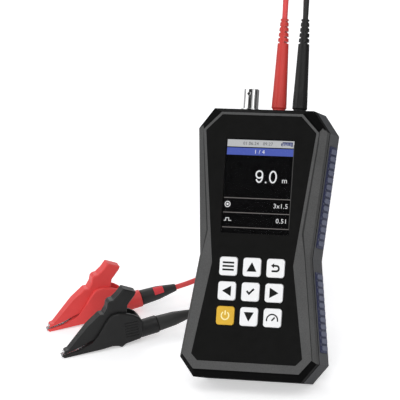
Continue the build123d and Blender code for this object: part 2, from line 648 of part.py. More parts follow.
# Keys
FLANGE_TOP = CAVITY_TOP - KEY_FLANGE_GAP
FLANGE_SIZE = KEY_SIZE + 2 * KEY_FLANGE
for key_name, key_x, key_y in key_spots():
    with BuildPart() as key:
        with BuildSketch(Plane.XY.offset(FLANGE_TOP - KEY_FLANGE_THICK)):
            with Locations((key_x, key_y)):
                RectangleRounded(FLANGE_SIZE, FLANGE_SIZE, KEY_CORNER)
        extrude(amount=KEY_FLANGE_THICK)
        with BuildSketch(Plane.XY.offset(FLANGE_TOP)):
            with Locations((key_x, key_y)):
                RectangleRounded(KEY_SIZE, KEY_SIZE, KEY_CORNER)
        extrude(amount=DEPTH + KEY_PROUD - FLANGE_TOP)
        fillet(key.faces().sort_by(Axis.Z)[-1].edges(), radius=KEY_EDGE)
        with BuildSketch(Plane.XY.offset(FLANGE_TOP - KEY_FLANGE_THICK)):
            with Locations((key_x, key_y)):
                Circle(PUSHER_RADIUS)
        extrude(amount=BOARD_TOP + DOME_HEIGHT + KEY_REST_GAP - FLANGE_TOP + KEY_FLANGE_THICK)
    keep(key, key_name)

# Case screws with a cross drive
with BuildPart() as case_screws:
    with BuildSketch(Plane.XY.offset(CASE_HEAD_SUNK)):
        with Locations(*CASE_SPOTS):
            Circle(CASE_HEAD_RADIUS)
    extrude(amount=-CASE_HEAD_HEIGHT)
    with BuildSketch(Plane.XY.offset(CASE_HEAD_SUNK)):
        with Locations(*CASE_SPOTS):
            Circle(CASE_SCREW_RADIUS)
    extrude(amount=PARTING + CASE_SCREW_REACH - CASE_HEAD_SUNK)
    with BuildSketch(Plane.XY.offset(CASE_HEAD_SUNK - CASE_HEAD_HEIGHT)):
        with Locations(*CASE_SPOTS):
            Rectangle(DRIVE_LENGTH, DRIVE_WIDTH)
            Rectangle(DRIVE_WIDTH, DRIVE_LENGTH)
    extrude(amount=DRIVE_DEPTH, mode=Mode.SUBTRACT)
keep(case_screws, "case_screws")

# Battery, its cover and the cover's screw
with BuildPart() as battery_pack:
    with BuildSketch(Plane.XY.offset(COVER_THICK + FOAM_GAP)):
        with Locations((0, COVER_MIDDLE)):
            RectangleRounded(BATTERY_WIDTH, BATTERY_HEIGHT, COVER_CORNER)
    extrude(amount=BATTERY_THICK)
keep(battery_pack, "battery_pack")

with BuildPart() as battery_cover:
    with BuildSketch():
        with Locations((0, COVER_MIDDLE)):
            RectangleRounded(COVER_WIDTH, COVER_HEIGHT, COVER_CORNER)
        with Locations(COVER_SCREW_SPOT):
            Rectangle(COVER_TAB, COVER_TAB)
            Circle(COVER_SCREW_RADIUS + SCREW_FIT, mode=Mode.SUBTRACT)
    extrude(amount=COVER_THICK)
    with BuildSketch():
        with Locations(COVER_SCREW_SPOT):
            Circle(COVER_HEAD_RADIUS + CASE_HEAD_FIT)
    extrude(amount=COVER_HEAD_HEIGHT, mode=Mode.SUBTRACT)
keep(battery_cover, "battery_cover")

with BuildPart() as cover_screw:
    with BuildSketch():
        with Locations(COVER_SCREW_SPOT):
            Circle(COVER_HEAD_RADIUS)
    extrude(amount=COVER_HEAD_HEIGHT)
    with BuildSketch(Plane.XY.offset(COVER_HEAD_HEIGHT)):
        with Locations(COVER_SCREW_SPOT):
            Circle(COVER_SCREW_RADIUS)
    extrude(amount=COVER_SCREW_LENGTH)
    with BuildSketch():
        with Locations(COVER_SCREW_SPOT):
            Rectangle(DRIVE_LENGTH, DRIVE_WIDTH)
            Rectangle(DRIVE_WIDTH, DRIVE_LENGTH)
    extrude(amount=COVER_HEAD_HEIGHT / 2, mode=Mode.SUBTRACT)
keep(cover_screw, "cover_screw")

# Tilt stand, drawn in its own open plane from the hinge down to its foot
STAND_OUTLINE = [
    (-STAND_HALF, 0),
    (STAND_HALF, 0),
    (STAND_FOOT_HALF, STAND_LENGTH),
    (-STAND_FOOT_HALF, STAND_LENGTH),
]
STAND_ACROSS = Plane(origin=(-STAND_HALF, HINGE_HEIGHT, HINGE_LEVEL), x_dir=(0, 1, 0), z_dir=(1, 0, 0))
with BuildPart() as stand:
    with BuildSketch(STAND_PLANE.offset(-STAND_THICK / 2)):
        fill(STAND_OUTLINE)
    extrude(amount=STAND_THICK)
    with BuildSketch(STAND_PLANE.offset(STAND_THICK / 2)):
        fill(STAND_OUTLINE)
        offset(amount=-STAND_BORDER, kind=Kind.INTERSECTION, mode=Mode.REPLACE)
    extrude(amount=-STAND_RECESS, mode=Mode.SUBTRACT)
    with BuildSketch(STAND_ACROSS):
        Circle(STAND_BARREL)
    extrude(amount=2 * STAND_HALF)
    with BuildSketch(Plane(origin=STAND_PLANE.from_local_coords((-STAND_FOOT_HALF, STAND_LENGTH, 0)),
                           x_dir=STAND_PLANE.y_dir, z_dir=(1, 0, 0))):
        Circle(STAND_THICK / 2)
    extrude(amount=2 * STAND_FOOT_HALF)
    with BuildSketch(STAND_ACROSS.offset(-OVERRUN)):
        Circle(STAND_PIN_RADIUS + PIN_FIT)
    extrude(amount=2 * (STAND_HALF + OVERRUN), mode=Mode.SUBTRACT)
keep(stand, "stand")

with BuildPart() as stand_pin:
    with BuildSketch(STAND_ACROSS.offset(STAND_HALF - POCKET_HALF - STAND_PIN_BITE)):
        Circle(STAND_PIN_RADIUS)
    extrude(amount=2 * (POCKET_HALF + STAND_PIN_BITE))
keep(stand_pin, "stand_pin")

# Ribbed grips
for level, (low, high) in GRIP_SIDES.items():
    for side_name, side in SIDES.items():
        length = grip_length(low, high)
        plane = grip_plane(low, high, side)
        with BuildPart() as grip:
            with BuildSketch(plane.offset(-GRIP_SUNK)):
                RectangleRounded(length, GRIP_WIDTH, GRIP_CORNER)
            extrude(amount=GRIP_SUNK + GRIP_PROUD)
            with BuildSketch(plane.offset(GRIP_PROUD)):
                with GridLocations(RIB_PITCH, 0, int((length - RIB_WIDTH) // RIB_PITCH) + 1, 1):
                    RectangleRounded(RIB_WIDTH, GRIP_WIDTH - 2 * RIB_MARGIN, RIB_CORNER)
            extrude(amount=RIB_HEIGHT)
        keep(grip, f"{level}_{side_name}_grip")


def section_plane(plane):
    """The plane of a turned piece's section: X out from the axis, Y along the given plane's Z."""
    return Plane(origin=plane.origin, x_dir=plane.x_dir, z_dir=-plane.y_dir)


def half_section(points):
    """Half of a turned piece's section: points of (radius, height), closed along the axis."""
    fill([(0, points[0][1])] + points + [(0, points[-1][1])])


# Coaxial jack: shank and nut inside, flange and bayonet barrel outside, insulator and contact
coax_plane = TOP_PLANE.offset(0)
coax_plane.origin = TOP_PLANE.from_local_coords((COAX_PLACE, 0, 0))
with BuildPart() as bnc_jack:
    with BuildSketch(section_plane(coax_plane)):
        half_section([
            (COAX_SHANK_RADIUS, -COAX_SHANK_LENGTH),
            (COAX_SHANK_RADIUS, -SIDE_WALL - COAX_NUT_THICK),
            (COAX_NUT_RADIUS, -SIDE_WALL - COAX_NUT_THICK),
            (COAX_NUT_RADIUS, -SIDE_WALL),
            (COAX_SHANK_RADIUS, -SIDE_WALL),
            (COAX_SHANK_RADIUS, 0),
            (COAX_FLANGE_RADIUS, 0),
            (COAX_FLANGE_RADIUS, COAX_FLANGE_HEIGHT),
            (COAX_RADIUS, COAX_FLANGE_HEIGHT),
            (COAX_RADIUS, COAX_HEIGHT - COAX_MOUTH_CHAMFER),
            (COAX_RADIUS - COAX_MOUTH_CHAMFER, COAX_HEIGHT),
        ])
    revolve(axis=Axis(coax_plane.origin, coax_plane.z_dir))
    with BuildSketch(coax_plane.offset(COAX_HEIGHT + OVERRUN)):
        Circle(COAX_BORE)
    extrude(amount=-COAX_BORE_DEPTH - OVERRUN, mode=Mode.SUBTRACT)
    lug_plane = Plane(
        origin=coax_plane.from_local_coords((0, 0, COAX_LUG_HEIGHT)), x_dir=(0, 1, 0), z_dir=(0, 0, 1)
    )
    for way in SIDES.values():
        with BuildSketch(lug_plane.offset(way * (COAX_BORE + (COAX_RADIUS - COAX_BORE) / 2))):
            Circle(COAX_LUG_RADIUS)
        extrude(amount=way * ((COAX_RADIUS - COAX_BORE) / 2 + COAX_LUG_PROUD))
keep(bnc_jack, "bnc_jack")

COAX_FLOOR = COAX_HEIGHT - COAX_BORE_DEPTH
with BuildPart() as bnc_insulator:
    with BuildSketch(coax_plane.offset(COAX_FLOOR)):
        Circle(INSULATOR_RADIUS)
        Circle(CONTACT_RADIUS, mode=Mode.SUBTRACT)
    extrude(amount=INSULATOR_HEIGHT)
keep(bnc_insulator, "bnc_insulator")

with BuildPart() as bnc_contact:
    with BuildSketch(coax_plane.offset(COAX_FLOOR)):
        Circle(CONTACT_RADIUS)
    extrude(amount=CONTACT_HEIGHT)
keep(bnc_contact, "bnc_contact")

# Lead sockets, flush with the top end
LEAD_PLACES = {"red": RED_PLACE, "black": BLACK_PLACE}
for colour, place in LEAD_PLACES.items():
    with BuildPart() as socket:
        with BuildSketch(TOP_PLANE.offset(SOCKET_PROUD)):
            with Locations((place, 0)):
                Circle(SOCKET_RADIUS)
        extrude(amount=-SOCKET_LENGTH)
        with BuildSketch(TOP_PLANE.offset(SOCKET_PROUD)):
            with Locations((place, 0)):
                Circle(PLUG_NECK_RADIUS + PLUG_NECK_FIT)
        extrude(amount=SOCKET_FLOOR - SOCKET_LENGTH, mode=Mode.SUBTRACT)
    keep(socket, f"{colour}_socket")

# Stand the meter on its lower back edge and its stand, centred over the origin
LEANT = Location((0, 0, 0), (SLOPE, 0, 0))
boxes = [piece.moved(LEANT).bounding_box() for piece in meter_pieces]
middle_y = (min(box.min.Y for box in boxes) + max(box.max.Y for box in boxes)) / 2
lowest_z = min(box.min.Z for box in boxes)
METER = Location((0, -middle_y, -lowest_z), (SLOPE, 0, 0))
for piece in meter_pieces:
    standing = piece.moved(METER)
    standing.label = piece.label
    export_step(standing, f"parts/{piece.label}.step")


def export_placed(builder, name, place):
    """Label a finished piece and write it where it lies."""
    placed = builder.part.moved(place)
    placed.label = name
    export_step(placed, f"parts/{name}.step")


# Plugs at the meter: a neck in the socket, a tapering fluted body and a strain relief with bites out of its
# sides, which leave a web up its middle
PLUG_TOP = PLUG_LIFT + PLUG_BODY_LENGTH
BITE_STEP = RELIEF_LENGTH / RELIEF_BITES
BITE_SPOTS = [
    (side * (RELIEF_WEB_HALF + PLUG_TOP_RADIUS / 2), PLUG_TOP + (bite + 1 / 2) * BITE_STEP)
    for bite in range(RELIEF_BITES)
    for side in SIDES.values()
]
lead_starts = {}
FLUTE_TILT = degrees(atan2(PLUG_BASE_RADIUS - PLUG_TOP_RADIUS, PLUG_BODY_LENGTH))
for colour, place in LEAD_PLACES.items():
    plug_plane = Plane(
        origin=TOP_PLANE.from_local_coords((place, 0, SOCKET_PROUD)), x_dir=(1, 0, 0), z_dir=(0, 1, 0)
    )
    with BuildPart() as meter_plug:
        with BuildSketch(section_plane(plug_plane)):
            half_section([
                (PLUG_NECK_RADIUS, -PLUG_NECK_LENGTH),
                (PLUG_NECK_RADIUS, PLUG_LIFT),
                (PLUG_BASE_RADIUS - PLUG_BASE_ROUND, PLUG_LIFT),
                (PLUG_BASE_RADIUS, PLUG_LIFT + PLUG_BASE_ROUND),
                (PLUG_TOP_RADIUS, PLUG_TOP),
                (RELIEF_TOP_RADIUS, PLUG_TOP + RELIEF_LENGTH),
            ])
        revolve(axis=Axis(plug_plane.origin, plug_plane.z_dir))
        with BuildSketch(Plane(origin=plug_plane.origin, x_dir=plug_plane.x_dir, z_dir=(0, 0, 1))):
            with Locations(*BITE_SPOTS):
                Rectangle(PLUG_TOP_RADIUS, RELIEF_BITE_SHARE * BITE_STEP)
        extrude(amount=PLUG_TOP_RADIUS, both=True, mode=Mode.SUBTRACT)
        for flute in range(FLUTE_COUNT):
            outward = Vector(1, 0, 0).rotate(Axis.Y, flute * 360 / FLUTE_COUNT)
            foot = plug_plane.origin + outward * PLUG_BASE_RADIUS + Vector(0, PLUG_LIFT, 0)
            flute_plane = Plane(origin=foot, x_dir=(0, 1, 0), z_dir=outward).rotated((0, FLUTE_TILT, 0))
            with BuildSketch(flute_plane.offset(-FLUTE_DEPTH)):
                with Locations(((FLUTE_START + FLUTE_END) / 2, 0)):
                    SlotOverall(FLUTE_END - FLUTE_START, FLUTE_WIDTH)
            extrude(amount=FLUTE_DEPTH + OVERRUN, mode=Mode.SUBTRACT)
    export_placed(meter_plug, f"{colour}_meter_plug", METER)
    lead_starts[colour] = [
        (METER * Location(plug_plane.from_local_coords((0, 0, PLUG_TOP + RELIEF_LENGTH + run)))).position
        for run in (0, LEAD_STRAIGHT)
    ]


def clip_points(shares):
    """Outline shares of the clip as points of its side view."""
    return [(x * CLIP_LENGTH, z * CLIP_HEIGHT) for x, z in shares]


def inset(points, amount):
    """A straight-sided outline, listed anticlockwise, with each side drawn in by an amount."""
    sides = []
    for start, end in zip(points, points[1:] + points[:1]):
        run = Vector(end[0] - start[0], end[1] - start[1]).normalized()
        sides.append((Vector(*start) + Vector(-run.Y, run.X) * amount, run))
    corners = []
    for (before, run), (after, next_run) in zip(sides[-1:] + sides[:-1], sides):
        along = (after - before).cross(next_run).Z / run.cross(next_run).Z
        corner = before + run * along
        corners.append((corner.X, corner.Y))
    return corners


def clip_plan(half):
    """The clip from above: narrow jaw tips that widen to the full width."""
    full = CLIP_FULL_SHARE * CLIP_LENGTH
    tip = -CLIP_NECK_INSIDE - OVERRUN
    end = CLIP_LENGTH + CLIP_NECK_LENGTH + OVERRUN
    tip_half = min(CLIP_TIP_HALF, half)
    return [(tip, -tip_half), (full, -half), (end, -half), (end, half), (full, half), (tip, tip_half)]


PIVOT = clip_points([CLIP_PIVOT_SHARES])[0]
SIDE = Plane.XZ
NECK_START = Vector(CLIP_LENGTH, 0, CLIP_NECK_LEVEL_SHARE * CLIP_HEIGHT)
NECK_RUN = Vector(cos(radians(CLIP_NECK_SLOPE)), 0, sin(radians(CLIP_NECK_SLOPE)))
NECK_PLANE = Plane(origin=NECK_START, x_dir=(0, 1, 0), z_dir=NECK_RUN)
LOWER_LIP = clip_points(BODY_SHARES[-3:])
UPPER_LIP = clip_points(JAW_SHARES[:3])


def contact_outline(lip, inward):
    """A toothed strip along a jaw's lip, from the tip back, with its body on the jaw's side of the lip."""
    tip, middle, root = sorted(lip)
    reach = CONTACT_REACH_SHARE * CLIP_LENGTH

    def lip_height(x):
        low, high = (tip, middle) if x <= middle[0] else (middle, root)
        return low[1] + (x - low[0]) * (high[1] - low[1]) / (high[0] - low[0])

    teeth = []
    for step in range(2 * CONTACT_TEETH + 1):
        x = tip[0] + step * (reach - tip[0]) / (2 * CONTACT_TEETH)
        teeth.append((x, lip_height(x) - inward * CONTACT_TOOTH * (step % 2)))
    back = [(x, lip_height(x) + inward * CONTACT_THICK) for x in (reach, middle[0], tip[0])]
    return teeth + back


def make_clip(colour, place):
    """One spring clip and the plug of its lead, lying where its jaw tip touches the surface."""
    where = Location((place[0], place[1], 0), (0, 0, CLIP_TURN))
    slot_half = CLIP_JAW_HALF + CLIP_SIDE_GAP
    pin_half = CLIP_HALF - CLIP_PIN_COVER
    lower_groove = contact_outline(LOWER_LIP, -1)
    upper_groove = contact_outline(UPPER_LIP, 1)

    with BuildPart() as body:
        with BuildSketch(SIDE.offset(CLIP_EDGE - CLIP_HALF)):
            fill(clip_points(BODY_SHARES))
        extrude(amount=2 * (CLIP_HALF - CLIP_EDGE))
        for way in SIDES.values():
            with BuildSketch(SIDE.offset(way * (CLIP_HALF - CLIP_EDGE))):
                fill(clip_points(BODY_SHARES))
            with BuildSketch(SIDE.offset(way * CLIP_HALF)):
                fill(inset(clip_points(BODY_SHARES), CLIP_EDGE))
            loft(ruled=True)
            with BuildSketch(SIDE.offset(way * (CLIP_HALF - CLIP_RIB_DEPTH))):
                with Locations(clip_points([CLIP_RIB_SHARES])[0]):
                    with GridLocations(0, CLIP_RIB_PITCH, 1, CLIP_RIB_COUNT):
                        SlotOverall(CLIP_RIB_LENGTH, CLIP_RIB_WIDTH)
            extrude(amount=way * (CLIP_RIB_DEPTH + OVERRUN), mode=Mode.SUBTRACT)
        with BuildSketch(Plane.XY.offset(-OVERRUN)):
            fill(clip_plan(CLIP_HALF))
        extrude(amount=CLIP_HEIGHT + 2 * OVERRUN, mode=Mode.INTERSECT)
        with BuildSketch(NECK_PLANE.offset(-CLIP_NECK_INSIDE)):
            Circle(CLIP_NECK_RADIUS)
        extrude(amount=CLIP_NECK_INSIDE + CLIP_NECK_LENGTH)
        with BuildSketch(NECK_PLANE.offset(CLIP_NECK_LENGTH + OVERRUN)):
            Circle(CLIP_NECK_BORE + CLIP_PLUG_GAP)
        extrude(amount=-CLIP_PLUG_NECK - OVERRUN - CLIP_PLUG_GAP, mode=Mode.SUBTRACT)
        with BuildSketch(SIDE.offset(-slot_half)):
            fill(clip_points(SLOT_SHARES))
            with Locations(PIVOT):
                Circle(CLIP_SLOT_RADIUS)
        extrude(amount=2 * slot_half, mode=Mode.SUBTRACT)
        with BuildSketch(SIDE.offset(-pin_half)):
            with Locations(PIVOT):
                Circle(CLIP_PIN_RADIUS + PIN_FIT)
        extrude(amount=2 * pin_half, mode=Mode.SUBTRACT)
        with BuildSketch(SIDE.offset(-CONTACT_HALF - CONTACT_FIT)):
            fill(lower_groove)
        extrude(amount=2 * (CONTACT_HALF + CONTACT_FIT), mode=Mode.SUBTRACT)
    export_placed(body, f"{colour}_clip_body", where)

    with BuildPart() as jaw:
        with BuildSketch(SIDE.offset(CLIP_EDGE - CLIP_JAW_HALF)):
            fill(clip_points(JAW_SHARES))
        extrude(amount=2 * (CLIP_JAW_HALF - CLIP_EDGE))
        for way in SIDES.values():
            with BuildSketch(SIDE.offset(way * (CLIP_JAW_HALF - CLIP_EDGE))):
                fill(clip_points(JAW_SHARES))
            with BuildSketch(SIDE.offset(way * CLIP_JAW_HALF)):
                fill(inset(clip_points(JAW_SHARES), CLIP_EDGE))
            loft(ruled=True)
        with BuildSketch(Plane.XY.offset(-OVERRUN)):
            fill(clip_plan(CLIP_JAW_HALF))
        extrude(amount=CLIP_HEIGHT + 2 * OVERRUN, mode=Mode.INTERSECT)
        with BuildSketch(SIDE.offset(-SPRING_POCKET_HALF)):
            with Locations(PIVOT):
                Circle(SPRING_POCKET_RADIUS)
                with Locations((0, -SPRING_POCKET_RADIUS)):
                    Rectangle(2 * SPRING_LEG + SPRING_RADIUS, 2 * SPRING_POCKET_RADIUS)
        extrude(amount=2 * SPRING_POCKET_HALF, mode=Mode.SUBTRACT)
        with BuildSketch(SIDE.offset(-CLIP_JAW_HALF - OVERRUN)):
            with Locations(PIVOT):
                Circle(CLIP_PIN_RADIUS + PIN_FIT)
        extrude(amount=2 * (CLIP_JAW_HALF + OVERRUN), mode=Mode.SUBTRACT)
        with BuildSketch(SIDE.offset(-CONTACT_HALF - CONTACT_FIT)):
            fill(upper_groove)
        extrude(amount=2 * (CONTACT_HALF + CONTACT_FIT), mode=Mode.SUBTRACT)
    export_placed(jaw, f"{colour}_clip_jaw", where)

    with BuildPart() as pin:
        with BuildSketch(SIDE.offset(-pin_half)):
            with Locations(PIVOT):
                Circle(CLIP_PIN_RADIUS)
        extrude(amount=2 * pin_half)
    export_placed(pin, f"{colour}_clip_pin", where)

    with BuildPart() as spring:
        with BuildSketch(SIDE.offset(-SPRING_HALF)):
            with Locations(PIVOT):
                Circle(SPRING_RADIUS)
                Circle(SPRING_BORE, mode=Mode.SUBTRACT)
        extrude(amount=2 * SPRING_HALF)
        with BuildSketch(SIDE.offset(-SPRING_LEG / 2)):
            with Locations((PIVOT[0], PIVOT[1] - (SPRING_BORE + CLIP_SLOT_RADIUS) / 2)):
                Rectangle(SPRING_LEG, CLIP_SLOT_RADIUS - SPRING_BORE)
        extrude(amount=SPRING_LEG)
    export_placed(spring, f"{colour}_clip_spring", where)

    for which, outline in {"lower": lower_groove, "upper": upper_groove}.items():
        with BuildPart() as contact:
            with BuildSketch(SIDE.offset(-CONTACT_HALF)):
                fill(outline)
            extrude(amount=2 * CONTACT_HALF)
        export_placed(contact, f"{colour}_{which}_contact", where)

    plug_plane = NECK_PLANE.offset(CLIP_NECK_LENGTH)
    with BuildPart() as clip_plug:
        with BuildSketch(section_plane(plug_plane)):
            half_section([
                (CLIP_NECK_BORE, -CLIP_PLUG_NECK),
                (CLIP_NECK_BORE, CLIP_PLUG_GAP),
                (CLIP_PLUG_RADIUS - CLIP_PLUG_ROUND, CLIP_PLUG_GAP),
                (CLIP_PLUG_RADIUS, CLIP_PLUG_GAP + CLIP_PLUG_ROUND),
                (CLIP_PLUG_MIDDLE_RADIUS, CLIP_PLUG_STRAIGHT),
                (CLIP_PLUG_END_RADIUS, CLIP_PLUG_LENGTH),
            ])
        revolve(axis=Axis(plug_plane.origin, plug_plane.z_dir))
    export_placed(clip_plug, f"{colour}_clip_plug", where)
    pivot = (where * Location((PIVOT[0], 0, PIVOT[1]))).position
    print(f"{colour} clip pivot", [round(v, 2) for v in pivot])
    return [
        (where * Location(plug_plane.from_local_coords((0, 0, CLIP_PLUG_LENGTH + run)))).position
        for run in (CLIP_STRAIGHT, 0)
    ]


lead_ends = {
    "red": make_clip("red", RED_CLIP_PLACE),
    "black": make_clip("black", BLACK_CLIP_PLACE),
}


def bend_radii(points):
    """The radius at each corner of a route, as large as its shorter straight run allows."""
    radii = []
    for before, corner, after in zip(points, points[1:], points[2:]):
        arriving = corner - before
        leaving = after - corner
        half_turn = radians(arriving.get_angle(leaving)) / 2
        radii.append(BEND_SHARE * min(arriving.length, leaving.length) / tan(half_turn))
    return radii


for colour, route_points in LEAD_ROUTES.items():
    points = lead_starts[colour] + [Vector(*point) for point in route_points] + lead_ends[colour]
    radii = bend_radii(points)
    with BuildPart() as lead:
        with BuildLine() as route:
            FilletPolyline(*points, radius=radii)
        with BuildSketch(Plane(origin=points[0], z_dir=points[1] - points[0])):
            Circle(LEAD_DIAMETER / 2)
        sweep()
    lead.part.label = f"{colour}_lead"
    export_step(lead.part, f"parts/{colour}_lead.step")
    length = route.wire().length
    share = lead.part.volume / (length * pi * (LEAD_DIAMETER / 2) ** 2)
    print(f"{colour} lead: length {length:.1f}, smallest bend {min(radii):.1f}, volume share {share:.4f}")
    print("  bends", [round(radius, 1) for radius in radii])

hinge = (METER * Location((0, HINGE_HEIGHT, HINGE_LEVEL))).position
print("stand hinge", [round(v, 2) for v in hinge], "stand length", round(STAND_LENGTH, 2))
print("meter placed at", [round(v, 3) for v in METER.position])
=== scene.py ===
import json
import math

import bpy
from mathutils import Matrix, Vector


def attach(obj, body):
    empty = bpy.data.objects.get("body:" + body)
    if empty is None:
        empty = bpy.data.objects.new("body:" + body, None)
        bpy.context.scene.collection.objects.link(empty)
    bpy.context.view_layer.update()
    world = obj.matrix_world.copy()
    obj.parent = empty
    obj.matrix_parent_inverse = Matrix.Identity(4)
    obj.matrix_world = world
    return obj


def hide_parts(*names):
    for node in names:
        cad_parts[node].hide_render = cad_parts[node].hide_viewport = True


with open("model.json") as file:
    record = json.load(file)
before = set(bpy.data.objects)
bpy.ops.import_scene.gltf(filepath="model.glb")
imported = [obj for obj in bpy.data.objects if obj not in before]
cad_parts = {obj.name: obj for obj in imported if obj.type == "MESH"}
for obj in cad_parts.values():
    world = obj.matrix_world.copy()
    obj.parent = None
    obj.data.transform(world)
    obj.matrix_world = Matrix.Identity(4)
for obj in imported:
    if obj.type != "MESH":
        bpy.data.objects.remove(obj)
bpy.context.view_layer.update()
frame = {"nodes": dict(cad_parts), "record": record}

nodes = frame["nodes"]

# The meter's own frame, in millimetres: X to its right, Y along it from the bottom end, Z out of its face
MM = 0.001
SLOPE = 60.0
METER_PLACE = (0.0, -29.052, -1.0)
METER = Matrix.Translation(Vector(METER_PLACE) * MM) @ Matrix.Rotation(math.radians(SLOPE), 4, "X")
ACROSS = METER.to_3x3() @ Vector((1, 0, 0))
ALONG = METER.to_3x3() @ Vector((0, 1, 0))
OUT = METER.to_3x3() @ Vector((0, 0, 1))


def box_round(points):
    """Lowest and highest corner of the box round some points."""
    low = Vector([min(point[axis] for point in points) for axis in range(3)])
    high = Vector([max(point[axis] for point in points) for axis in range(3)])
    return low, high


def meter_box(name):
    """Lowest and highest corner of a node in the meter's own frame."""
    back = METER.inverted()
    return box_round([back @ vertex.co / MM for vertex in nodes[name].data.vertices])


def add(name, data):
    """A new object in the scene."""
    made = bpy.data.objects.new(name, data)
    bpy.context.scene.collection.objects.link(made)
    return made


def add_mesh(name, points, faces, material):
    """A new mesh object in the scene, from points in metres."""
    mesh = bpy.data.meshes.new(name)
    mesh.from_pydata(points, [], faces)
    mesh.materials.append(material)
    return add(name, mesh)


class Tree:
    """A material's node tree with short calls for the nodes used here; radii and depths in millimetres."""

    NOISE_REACH = (0.3, 0.7)
    EDGE_COSINES = (0.84, 0.98)
    BEVEL_SAMPLES = 4

    def __init__(self, name):
        self.material = bpy.data.materials.new(name)
        self.material.use_nodes = True
        self.tree = self.material.node_tree
        self.shader = self.tree.nodes["Principled BSDF"]
        self.coords = self.tree.nodes.new("ShaderNodeTexCoord")

    def node(self, kind, **settings):
        made = self.tree.nodes.new(kind)
        for key, value in settings.items():
            setattr(made, key, value)
        return made

    def link(self, source, target):
        self.tree.links.new(source, target)

    def feed(self, socket, value):
        """Give a socket a constant, or link another node's output to it."""
        if isinstance(value, (float, tuple, Vector)):
            socket.default_value = value
        else:
            self.link(value, socket)

    def set(self, **values):
        """Constants on the shader's own sockets."""
        for key, value in values.items():
            self.shader.inputs[key.replace("_", " ")].default_value = value

    def noise(self, scale, detail=4.0, rough=0.55):
        noise = self.node("ShaderNodeTexNoise")
        noise.inputs["Scale"].default_value = scale
        noise.inputs["Detail"].default_value = detail
        noise.inputs["Roughness"].default_value = rough
        self.link(self.coords.outputs["Object"], noise.inputs["Vector"])
        return noise.outputs["Fac"]

    def ranged(self, value, from_low, from_high, low, high, smooth=False):
        ranged = self.node("ShaderNodeMapRange")
        if smooth:
            ranged.interpolation_type = "SMOOTHSTEP"
        for socket, level in zip(ranged.inputs[1:5], (from_low, from_high, low, high)):
            socket.default_value = level
        self.link(value, ranged.inputs["Value"])
        return ranged.outputs["Result"]

    def spread(self, value, low, high):
        """Noise, which lies mostly near its middle, spread between two levels."""
        return self.ranged(value, *self.NOISE_REACH, low, high)

    def rise(self, value, low, high):
        """0 below low and 1 above high, smooth in between."""
        return self.ranged(value, low, high, 0.0, 1.0, smooth=True)

    def fall(self, value, low, high):
        """1 below low and 0 above high, smooth in between."""
        return self.ranged(value, low, high, 1.0, 0.0, smooth=True)

    def product(self, first, second):
        product = self.node("ShaderNodeMath", operation="MULTIPLY")
        self.feed(product.inputs[0], first)
        self.feed(product.inputs[1], second)
        return product.outputs["Value"]

    def blend(self, factor, first, second, kind="MIX"):
        """A colour made of two, each an output or a colour."""
        mix = self.node("ShaderNodeMix", data_type="RGBA", blend_type=kind)
        for socket, value in ((mix.inputs[0], factor), (mix.inputs[6], first), (mix.inputs[7], second)):
            self.feed(socket, value)
        return mix.outputs[2]

    def dot(self, vector, direction):
        product = self.node("ShaderNodeVectorMath", operation="DOT_PRODUCT")
        self.feed(product.inputs[0], vector)
        self.feed(product.inputs[1], direction)
        return product.outputs["Value"]

    def height(self, point, normal):
        """Distance of the surface from a plane."""
        from_plane = self.node("ShaderNodeVectorMath", operation="SUBTRACT")
        self.feed(from_plane.inputs[0], self.coords.outputs["Object"])
        self.feed(from_plane.inputs[1], point)
        return self.dot(from_plane.outputs["Vector"], normal)

    def rounded(self, radius):
        """The surface's direction with its edges softly rounded."""
        bevel = self.node("ShaderNodeBevel", samples=self.BEVEL_SAMPLES)
        bevel.inputs["Radius"].default_value = radius * MM
        return bevel.outputs["Normal"]

    def edges(self, radius):
        """1 along edges and 0 on flat stretches."""
        flat = self.node("ShaderNodeNewGeometry").outputs["Normal"]
        return self.fall(self.dot(self.rounded(radius), flat), *self.EDGE_COSINES)

    def colour(self, output):
        self.link(output, self.shader.inputs["Base Color"])

    def roughness(self, scale, middle, reach):
        """Patchy gloss."""
        gloss = self.spread(self.noise(scale), middle - reach, middle + reach)
        self.link(gloss, self.shader.inputs["Roughness"])

    def bump(self, height, strength, depth, edge):
        """Surface relief from a height, over softly rounded edges."""
        bump = self.node("ShaderNodeBump")
        bump.inputs["Strength"].default_value = strength
        bump.inputs["Distance"].default_value = depth * MM
        self.link(height, bump.inputs["Height"])
        if edge:
            self.link(self.rounded(edge), bump.inputs["Normal"])
        self.link(bump.outputs["Normal"], self.shader.inputs["Normal"])


def rgb(red, green, blue):
    return (red, green, blue, 1.0)


def toned(colour, factor):
    return tuple(channel * factor for channel in colour[:3]) + (1.0,)


def moulded(name, colour, rough, grain, depth, edge, vary, spec, painted_edge_tone):
    """Moulded plastic or rubber: fine grain, colour drift, patchy gloss, and edges in a painted tone: a
    painted highlight where paler, painted shade where darker.
    """
    made = Tree(name)
    drift = made.spread(made.noise(scale=60.0), 0.0, 1.0)
    tone = made.blend(drift, toned(colour, 1 - vary), toned(colour, 1 + vary))
    if edge:
        # Edges in a tone of their own: paler is a painted highlight, darker is painted shade
        tone = made.blend(made.edges(edge), tone, toned(colour, painted_edge_tone))
    made.colour(tone)
    made.roughness(scale=220.0, middle=rough, reach=0.06)
    made.set(Specular_IOR_Level=spec)
    made.bump(made.noise(scale=grain, detail=3.0), strength=0.35, depth=depth, edge=edge)
    return made.material


def metal(name, colour, rough, lines):
    """Plated metal with fine turning or drawing lines."""
    made = Tree(name)
    made.set(Metallic=1.0)
    drift = made.spread(made.noise(scale=90.0), 0.0, 1.0)
    made.colour(made.blend(drift, toned(colour, 0.94), toned(colour, 1.04)))
    made.roughness(scale=700.0, middle=rough, reach=rough * 0.3)
    made.bump(made.noise(scale=lines, detail=2.0), strength=0.12, depth=0.02, edge=0.12)
    return made.material
